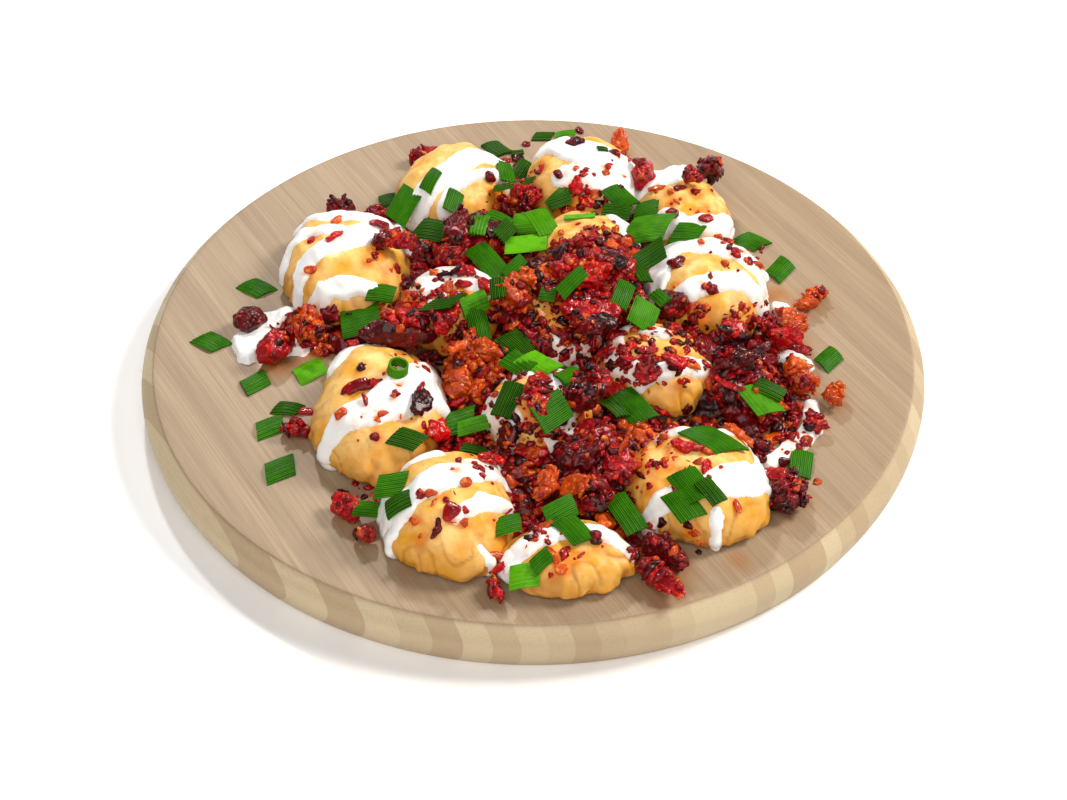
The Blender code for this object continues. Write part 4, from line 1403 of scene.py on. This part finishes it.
# %% Spring onion: places
# x, y on the sighting level, length along the ribs, width, bearing of the ribs, shear, tone
LEAVES = [
    (-114, 18, 13, 11, -35, 0.3, "mid"), (-63, 78, 9, 11, 20, 0.2, "dark"),
    (-56, 74, 19, 14, 60, 0.35, "mid"), (-45, 92, 13, 8, 60, 0.3, "mid"),
    (-34.5, 77, 12, 8, 80, 0.2, "mid"), (-16, 115, 12, 9, -50, 0.2, "dark"),
    (-12, 98, 14, 8, -75, 0.2, "mid"), (-5, 100, 12, 8, 65, 0.2, "dark"),
    (-7, 112, 6, 4, 10, 0, "dark"), (-8, 71, 19, 6, -5, 0.1, "dark"),
    (-14, 65, 12, 9, -10, 0.2, "mid"), (-3, 62, 13, 11, 10, 0.3, "light"),
    (4, 62, 14, 10, -60, 0.2, "light"), (11, 75, 14, 7, 45, 0.2, "mid"),
    (-3, 47, 19, 11, 12, 0.2, "pale"), (-12, 56, 13, 8, 60, 0.2, "dark"),
    (-23, 58, 13, 8, 80, 0.1, "light"), (-19, 38, 19, 11, -52, 0.1, "mid"),
    (-8, 32, 12, 8, 40, 0.2, "mid"), (-43, 56, 15, 11, -15, 0.4, "dark"),
    (-62, 11, 12, 9, 0, 0.2, "mid"), (-70, -3, 17, 14, 15, 0.1, "mid"),
    (-37, 8, 14, 10, -15, 0.4, "dark"), (-24, 8, 13, 10, 35, 0.2, "light"),
    (-22, -6, 14, 9, -75, 0.1, "mid"), (-14, -9, 11, 7, 90, 0, "dark"),
    (-7, -15, 14, 11, -50, 0.3, "dark"), (2, -30, 14, 10, -35, 0.4, "bright"),
    (-6, -29, 12, 9, -40, 0.2, "mid"), (14, -36, 14, 8, 50, 0.2, "mid"),
    (-10, -50, 17, 10, 65, 0.1, "dark"), (7, -71, 16, 13, 45, 0.2, "mid"),
    (38, -54, 18, 12, -55, 0.2, "mid"), (31, -58, 16, 6, -60, 0.1, "dark"),
    (-28, -62, 12, 11, 20, 0.3, "mid"), (-22, -68, 15, 7, 15, 0.2, "light"),
    (-22, -78, 11, 7, 0, 0.2, "dark"), (-48, -70, 12, 9, -15, 0.4, "dark"),
    (-88, -33, 14, 11, 40, 0.2, "bright"), (-109, -40, 12, 10, 40, 0.2, "mid"),
    (-129, -16, 13, 11, -35, 0.3, "mid"), (-95, -55, 11, 8, -10, 0.3, "dark"),
    (-101, -65, 12, 11, 30, 0.3, "mid"), (-95, -88, 13, 12, 30, 0.3, "mid"),
    (-53, -97, 12, 10, 15, 0.4, "mid"), (-50, -106, 11, 9, 20, 0.2, "dark"),
    (-60, -115, 11, 9, 10, 0.3, "mid"), (-9, -114, 11, 8, 25, 0.3, "mid"),
    (10, -110, 14, 9, 35, 0.2, "mid"), (15, -120, 13, 10, -50, 0.2, "mid"),
    (34, -114, 18, 9, -62, 0.1, "mid"), (3, -135, 9, 7, 40, 0.2, "mid"),
    (-3, -145, 12, 10, 5, 0.1, "bright"), (59, -97, 15, 12, -60, 0.2, "mid"),
    (55, -112, 14, 11, -60, 0.2, "mid"), (66, -100, 12, 7, -55, 0.1, "dark"),
    (69, -72, 20, 17, -45, 0.2, "mid"), (88, -54, 15, 12, -50, 0.3, "light"),
    (93, -43, 13, 8, -15, 0.2, "dark"), (117.5, -26, 12, 10, 50, 0.3, "mid"),
    (101, -85, 14, 9, 80, 0, "mid"), (92.5, 49, 13, 11, -40, 0.2, "mid"),
    (103, 30, 14, 10, 55, 0.3, "mid"), (49, 58, 20, 17, -12, 0.2, "light"),
    (66, 58, 13, 11, -5, 0.4, "mid"), (38, 81, 13, 11, -45, 0.2, "mid"),
    (49, 73, 11, 10, 0, 0.2, "mid"), (36, 69, 13, 8, -5, 0.2, "dark"),
    (20, 66, 14, 5, -8, 0, "pale"), (12, 80, 10, 6, 20, 0.2, "dark"),
    (49, 39, 15, 11, 30, 0.3, "dark"), (16, 22, 15, 8, 40, 0.2, "mid"),
    (37, 14, 14, 8, 75, 0.1, "mid"), (44, 19, 12, 7, -60, 0.1, "dark"),
    (45, 1, 14, 12, 75, 0.2, "light"), (6, 6, 7, 6, -10, 0.1, "mid"),
    (4.5, 124.5, 9, 7, 0, 0.3, "dark"), (14.5, 126, 10, 6, 15, 0.3, "light"),
    (31, 115, 5, 4, 10, 0, "dark"), (52, 12, 11, 6, -60, 0, "mid"),
]
TONES = {"dark": 0.0, "mid": 0.35, "light": 0.65, "bright": 0.85, "pale": 1.0}
RING_PLACE = (-54, -33)
print(len(LEAVES), "cut leaves and one ring")

# %% [markdown]
# A leaf is a grid sheared to a lozenge, arched across, ribbed and thickened with
# Solidify. A slice cut straight across stays a short tube, the ring.

# %% Spring onion: slices
LEAF_THICK = 0.8 * MM
RIB_SPACING = 1.5 * MM
RIB_HEIGHT = 0.13 * MM
RIB_STEPS = 24
LENGTH_STEPS = 8
RING_SEGMENTS = 40
RING_TAPER = 0.92


def leaf_mesh(length, width, shear, tone, dice):
    """One slice, flat on its own plane with its ribs along X."""
    work = bmesh.new()
    bmesh.ops.create_grid(work, x_segments=LENGTH_STEPS, y_segments=RIB_STEPS, size=0.5)
    arch = dice.uniform(0.15, 0.6) / width
    curl = dice.uniform(-0.15, 0.3) / length
    for vert in work.verts:
        across = vert.co.y * width
        along = vert.co.x * length + shear * across * 1.2
        rib = RIB_HEIGHT * math.cos(2 * math.pi * across / RIB_SPACING)
        vert.co = (along, across, rib - arch * across ** 2 - curl * along ** 2)
    mesh = mesh_from(work, "leaf")
    give_attribute(mesh, "tone", np.full(len(mesh.vertices), tone + dice.uniform(-0.08, 0.08)))
    give_attribute(mesh, "across", [vert.co.y for vert in mesh.vertices])
    return thickened(mesh, LEAF_THICK)


def ring_slice(radius, height, tone):
    """A slice cut straight across the hollow leaf: a short tube that lies on its end."""
    work = bmesh.new()
    bmesh.ops.create_cone(work, cap_ends=False, segments=RING_SEGMENTS, radius1=radius,
                          radius2=RING_TAPER * radius, depth=height)
    bmesh.ops.recalc_face_normals(work, faces=work.faces)
    mesh = mesh_from(work, "ring")
    round_ring = [radius * math.atan2(vert.co.y, vert.co.x) for vert in mesh.vertices]
    give_attribute(mesh, "tone", np.full(len(mesh.vertices), tone))
    give_attribute(mesh, "across", round_ring)
    return thickened(mesh, LEAF_THICK)


print("ribs stand", RIB_SPACING / MM, "mm apart")

# %% [markdown]
# Each leaf takes the slope of a plane fitted to the food under it, and comes down
# until only its lowest points sink in. Moving it down moves it off its line of sight,
# so it is aimed and lowered three times. A leaf that still slides off or behind a
# dumpling goes back to where its line first meets the food. Later leaves rest on
# earlier ones.

# %% Spring onion: laying the slices
STEEPEST = 0.4
LEAF_SHARE = 0.94  # slices lie tilted, so they are this much smaller than they look
PLANE_SAMPLES = 5
PLANE_REACH = 0.35  # as a share of the leaf's width
AIM_STEPS = 3
SUNK_SHARE = 8  # percent of a leaf's points
MOST_SUNK = 20
SLID_OFF = 2.5 * MM
NEAR_LEAVES = 22 * MM
RING_SIZE = (4.2 * MM, 4.5 * MM)  # radius and height
RING_LIFT = 1.5 * MM


def resting_plane(tree, x, y, reach):
    """A plane fitted to the food around a place: its height there and its normal."""
    samples = []
    for across in np.linspace(-1, 1, PLANE_SAMPLES):
        for along in np.linspace(-1, 1, PLANE_SAMPLES):
            place, _ = under(tree, x + across * reach, y + along * reach)
            samples.append(place)
    samples = np.array(samples)
    flat = np.c_[samples[:, :2] - (x, y), np.ones(len(samples))]
    (slope_x, slope_y, level), *_ = np.linalg.lstsq(flat, samples[:, 2], rcond=None)
    steep = max(1, math.hypot(slope_x, slope_y) / STEEPEST)
    slope_x, slope_y = slope_x / steep, slope_y / steep
    return level, Vector((-slope_x, -slope_y, 1)).normalized()


def clearance(mesh, trees, share):
    """How high the leaf stands over the food, with a percent of its points sunk in."""
    gaps = [z - max(under(tree, x, y)[0].z for tree in trees) for x, y, z in points_of(mesh)]
    return np.percentile(gaps, share)


def drop(mesh, trees, share):
    """Lowers the leaf until that percent of its points is sunk in."""
    mesh.transform(Matrix.Translation((0, 0, -clearance(mesh, trees, share))))
    return mesh


def shown(mesh, place, trees):
    """Puts a leaf that slid off its line of sight back on the line's first hit."""
    middle = Vector(points_of(mesh).mean(0))
    line = (place - CAMERA_PLACE).normalized()
    off_line = (middle - CAMERA_PLACE).cross(line).length
    behind = (middle - place).dot(line)
    if off_line > SLID_OFF or behind > SLID_OFF:
        mesh.transform(Matrix.Translation(place - middle))
        lift = max(0, -clearance(mesh, trees, MOST_SUNK))
        mesh.transform(Matrix.Translation((0, 0, lift)))
    return mesh


leaf_dice = random.Random(5)
littered_tree = search_tree([*lying, *loose_crumbs.values()])
leaf_meshes = []
for x, y, length, width, bearing, shear, tone in LEAVES:
    place, _ = sighted(littered_tree, x, y)
    level, up = resting_plane(littered_tree, place.x, place.y, width * PLANE_REACH * MM)
    leaf = leaf_mesh(length * LEAF_SHARE * MM, width * LEAF_SHARE * MM, shear, TONES[tone],
                     leaf_dice)
    leaf = lay(leaf, Vector((place.x, place.y, level)), up, math.radians(bearing))
    near = [other for other in leaf_meshes
            if np.hypot(*(points_of(other)[0] - place)[:2]) < NEAR_LEAVES]
    trees = [littered_tree, search_tree(near)] if near else [littered_tree]
    for _ in range(AIM_STEPS):
        leaf = drop(leaf, trees, SUNK_SHARE)
        middle = Vector(points_of(leaf).mean(0))
        line = Vector((x * MM, y * MM, SIGHT_LEVEL)) - CAMERA_PLACE
        aim = CAMERA_PLACE + line * ((middle.z - CAMERA_PLACE.z) / line.z)
        leaf.transform(Matrix.Translation((aim.x - middle.x, aim.y - middle.y, 0)))
    leaf_meshes.append(shown(drop(leaf, trees, SUNK_SHARE), place, trees))
ring_place, ring_up = sighted(littered_tree, *RING_PLACE)
leaf_meshes.append(lay(ring_slice(*RING_SIZE, TONES["light"]), ring_place + RING_LIFT * ring_up,
                       (ring_up + 2 * UP).normalized(), 0))
print(len(leaf_meshes), "slices of spring onion")

# %% [markdown]
# The leaf is waxy, with little shine. Two attributes steer its colour: tone gives
# each slice its own green, and across, the distance from the leaf's middle line,
# draws the fine lighter veins, 0.75 mm apart, between the raised ribs.

# %% Spring onion: finish
VEIN_SPACING = 0.75 * MM
SHARP_EDGE = math.radians(50)


def spring_onion():
    """Waxy green leaf: dark to pale from slice to slice, with lighter ribs."""
    material, tree, shader = new_material("spring_onion_leaf", Roughness=0.35,
                                          Specular_IOR_Level=0.06)
    tone = add_node(tree, "ShaderNodeAttribute", {"attribute_name": "tone"}).outputs["Fac"]
    across = add_node(tree, "ShaderNodeAttribute", {"attribute_name": "across"}).outputs["Fac"]
    place = add_node(tree, "ShaderNodeTexCoord").outputs["Object"]
    low_by = add_node(tree, "ShaderNodeMapRange", {}, {0: tone, 1: 0, 2: 0.5}).outputs[0]
    green = add_node(tree, "ShaderNodeMix", {"data_type": "RGBA"}, {
        MIX_FACTOR: low_by, MIX_A: linear("0A2E02"), MIX_B: linear("226202")}).outputs[MIX_RESULT]
    high_by = add_node(tree, "ShaderNodeMapRange", {}, {0: tone, 1: 0.5, 2: 1}).outputs[0]
    leaf = add_node(tree, "ShaderNodeMix", {"data_type": "RGBA"}, {
        MIX_FACTOR: high_by, MIX_A: green, MIX_B: linear("5EAC10")}).outputs[MIX_RESULT]
    phase = add_node(tree, "ShaderNodeMath", {"operation": "MULTIPLY"}, {
        0: across, 1: 2 * math.pi / VEIN_SPACING}).outputs[0]
    rib = add_node(tree, "ShaderNodeMath", {"operation": "SINE"}, {0: phase}).outputs[0]
    rib_by = add_node(tree, "ShaderNodeMapRange", {}, {
        0: rib, 1: 0.2, 2: 1, 3: 0, 4: 0.35}).outputs[0]
    ribbed = add_node(tree, "ShaderNodeMix", {"data_type": "RGBA"}, {
        MIX_FACTOR: rib_by, MIX_A: leaf, MIX_B: linear("74BC20")}).outputs[MIX_RESULT]
    clouds = add_node(tree, "ShaderNodeTexNoise", {}, {
        "Vector": place, "Scale": 1 / (5 * MM), "Detail": 2}).outputs[0]
    shade_by = add_node(tree, "ShaderNodeMapRange", {}, {
        0: clouds, 1: 0.45, 2: 0.75, 3: 0, 4: 0.5}).outputs[0]
    shaded = add_node(tree, "ShaderNodeMix", {"data_type": "RGBA"}, {
        MIX_FACTOR: shade_by, MIX_A: ribbed, MIX_B: linear("0C3C02")}).outputs[MIX_RESULT]
    relief = add_node(tree, "ShaderNodeBump", {}, {
        "Strength": 0.4, "Distance": 0.15 * MM, "Height": rib}).outputs[0]
    tree.links.new(shaded, shader.inputs["Base Color"])
    tree.links.new(relief, shader.inputs["Normal"])
    return material


onion_piece = finish_piece("spring_onion_slices", joined(leaf_meshes), spring_onion())
onion_piece.data.set_sharp_from_angle(angle=SHARP_EDGE)

# %% [markdown]
# ## Floor and light
# The board stands on a floor of plain white paper, matt and wide enough that its edge
# never shows. It isn't part of the object.

# %% Floor
FLOOR_HALF = 4  # metres from the middle to each side


def pale_floor():
    """One large sheet of white paper."""
    material, _, shader = new_material("white_paper_floor", Roughness=0.8)
    shader.inputs["Base Color"].default_value = linear("FAFAFA")
    work = bmesh.new()
    bmesh.ops.create_grid(work, x_segments=1, y_segments=1, size=FLOOR_HALF)
    mesh = mesh_from(work, "floor")
    mesh.materials.append(material)
    floor = bpy.data.objects.new("floor", mesh)
    bpy.context.scene.collection.objects.link(floor)


pale_floor()
print("the floor is", 2 * FLOOR_HALF, "m wide")

# %% [markdown]
# Three lights and white surroundings make the studio. A soft light like a window far
# to the right gives the shadows their direction, a wide one in front fills them, and a
# small one behind on the left puts sparkle on the wet bacon and the cream.

# %% Lights
# name, place in metres, size in metres, watts and colour
LIGHTS = [
    ("window", (1.6, 0.5, 1.6), 0.7, 52, "FFFAF2"),
    ("sparkle", (-0.25, 0.9, 0.95), 0.1, 8, "FFFFFF"),
    ("fill", (-0.2, -1.4, 1.5), 1.8, 30, "FFFAF6"),
]
ROOM_LIGHT = 0.17


def soft_light(name, place, size, watts, colour):
    """A square lamp that faces the middle of the board."""
    light = bpy.data.lights.new(name, "AREA")
    light.size = size
    light.energy = watts
    light.color = linear(colour)[:3]
    lamp = bpy.data.objects.new(name, light)
    lamp.location = place
    lamp.rotation_euler = (-Vector(place)).to_track_quat("-Z", "Y").to_euler()
    bpy.context.scene.collection.objects.link(lamp)


for lamp_settings in LIGHTS:
    soft_light(*lamp_settings)
world = bpy.data.worlds.new("white_room")
world.use_nodes = True
background = world.node_tree.nodes["Background"]
background.inputs["Color"].default_value = (1, 1, 1, 1)
background.inputs["Strength"].default_value = ROOM_LIGHT
bpy.context.scene.world = world
bpy.context.scene.view_settings.view_transform = "Standard"
print(len(LIGHTS), "lights of", sum(watts for _, _, _, watts, _ in LIGHTS), "W in all")
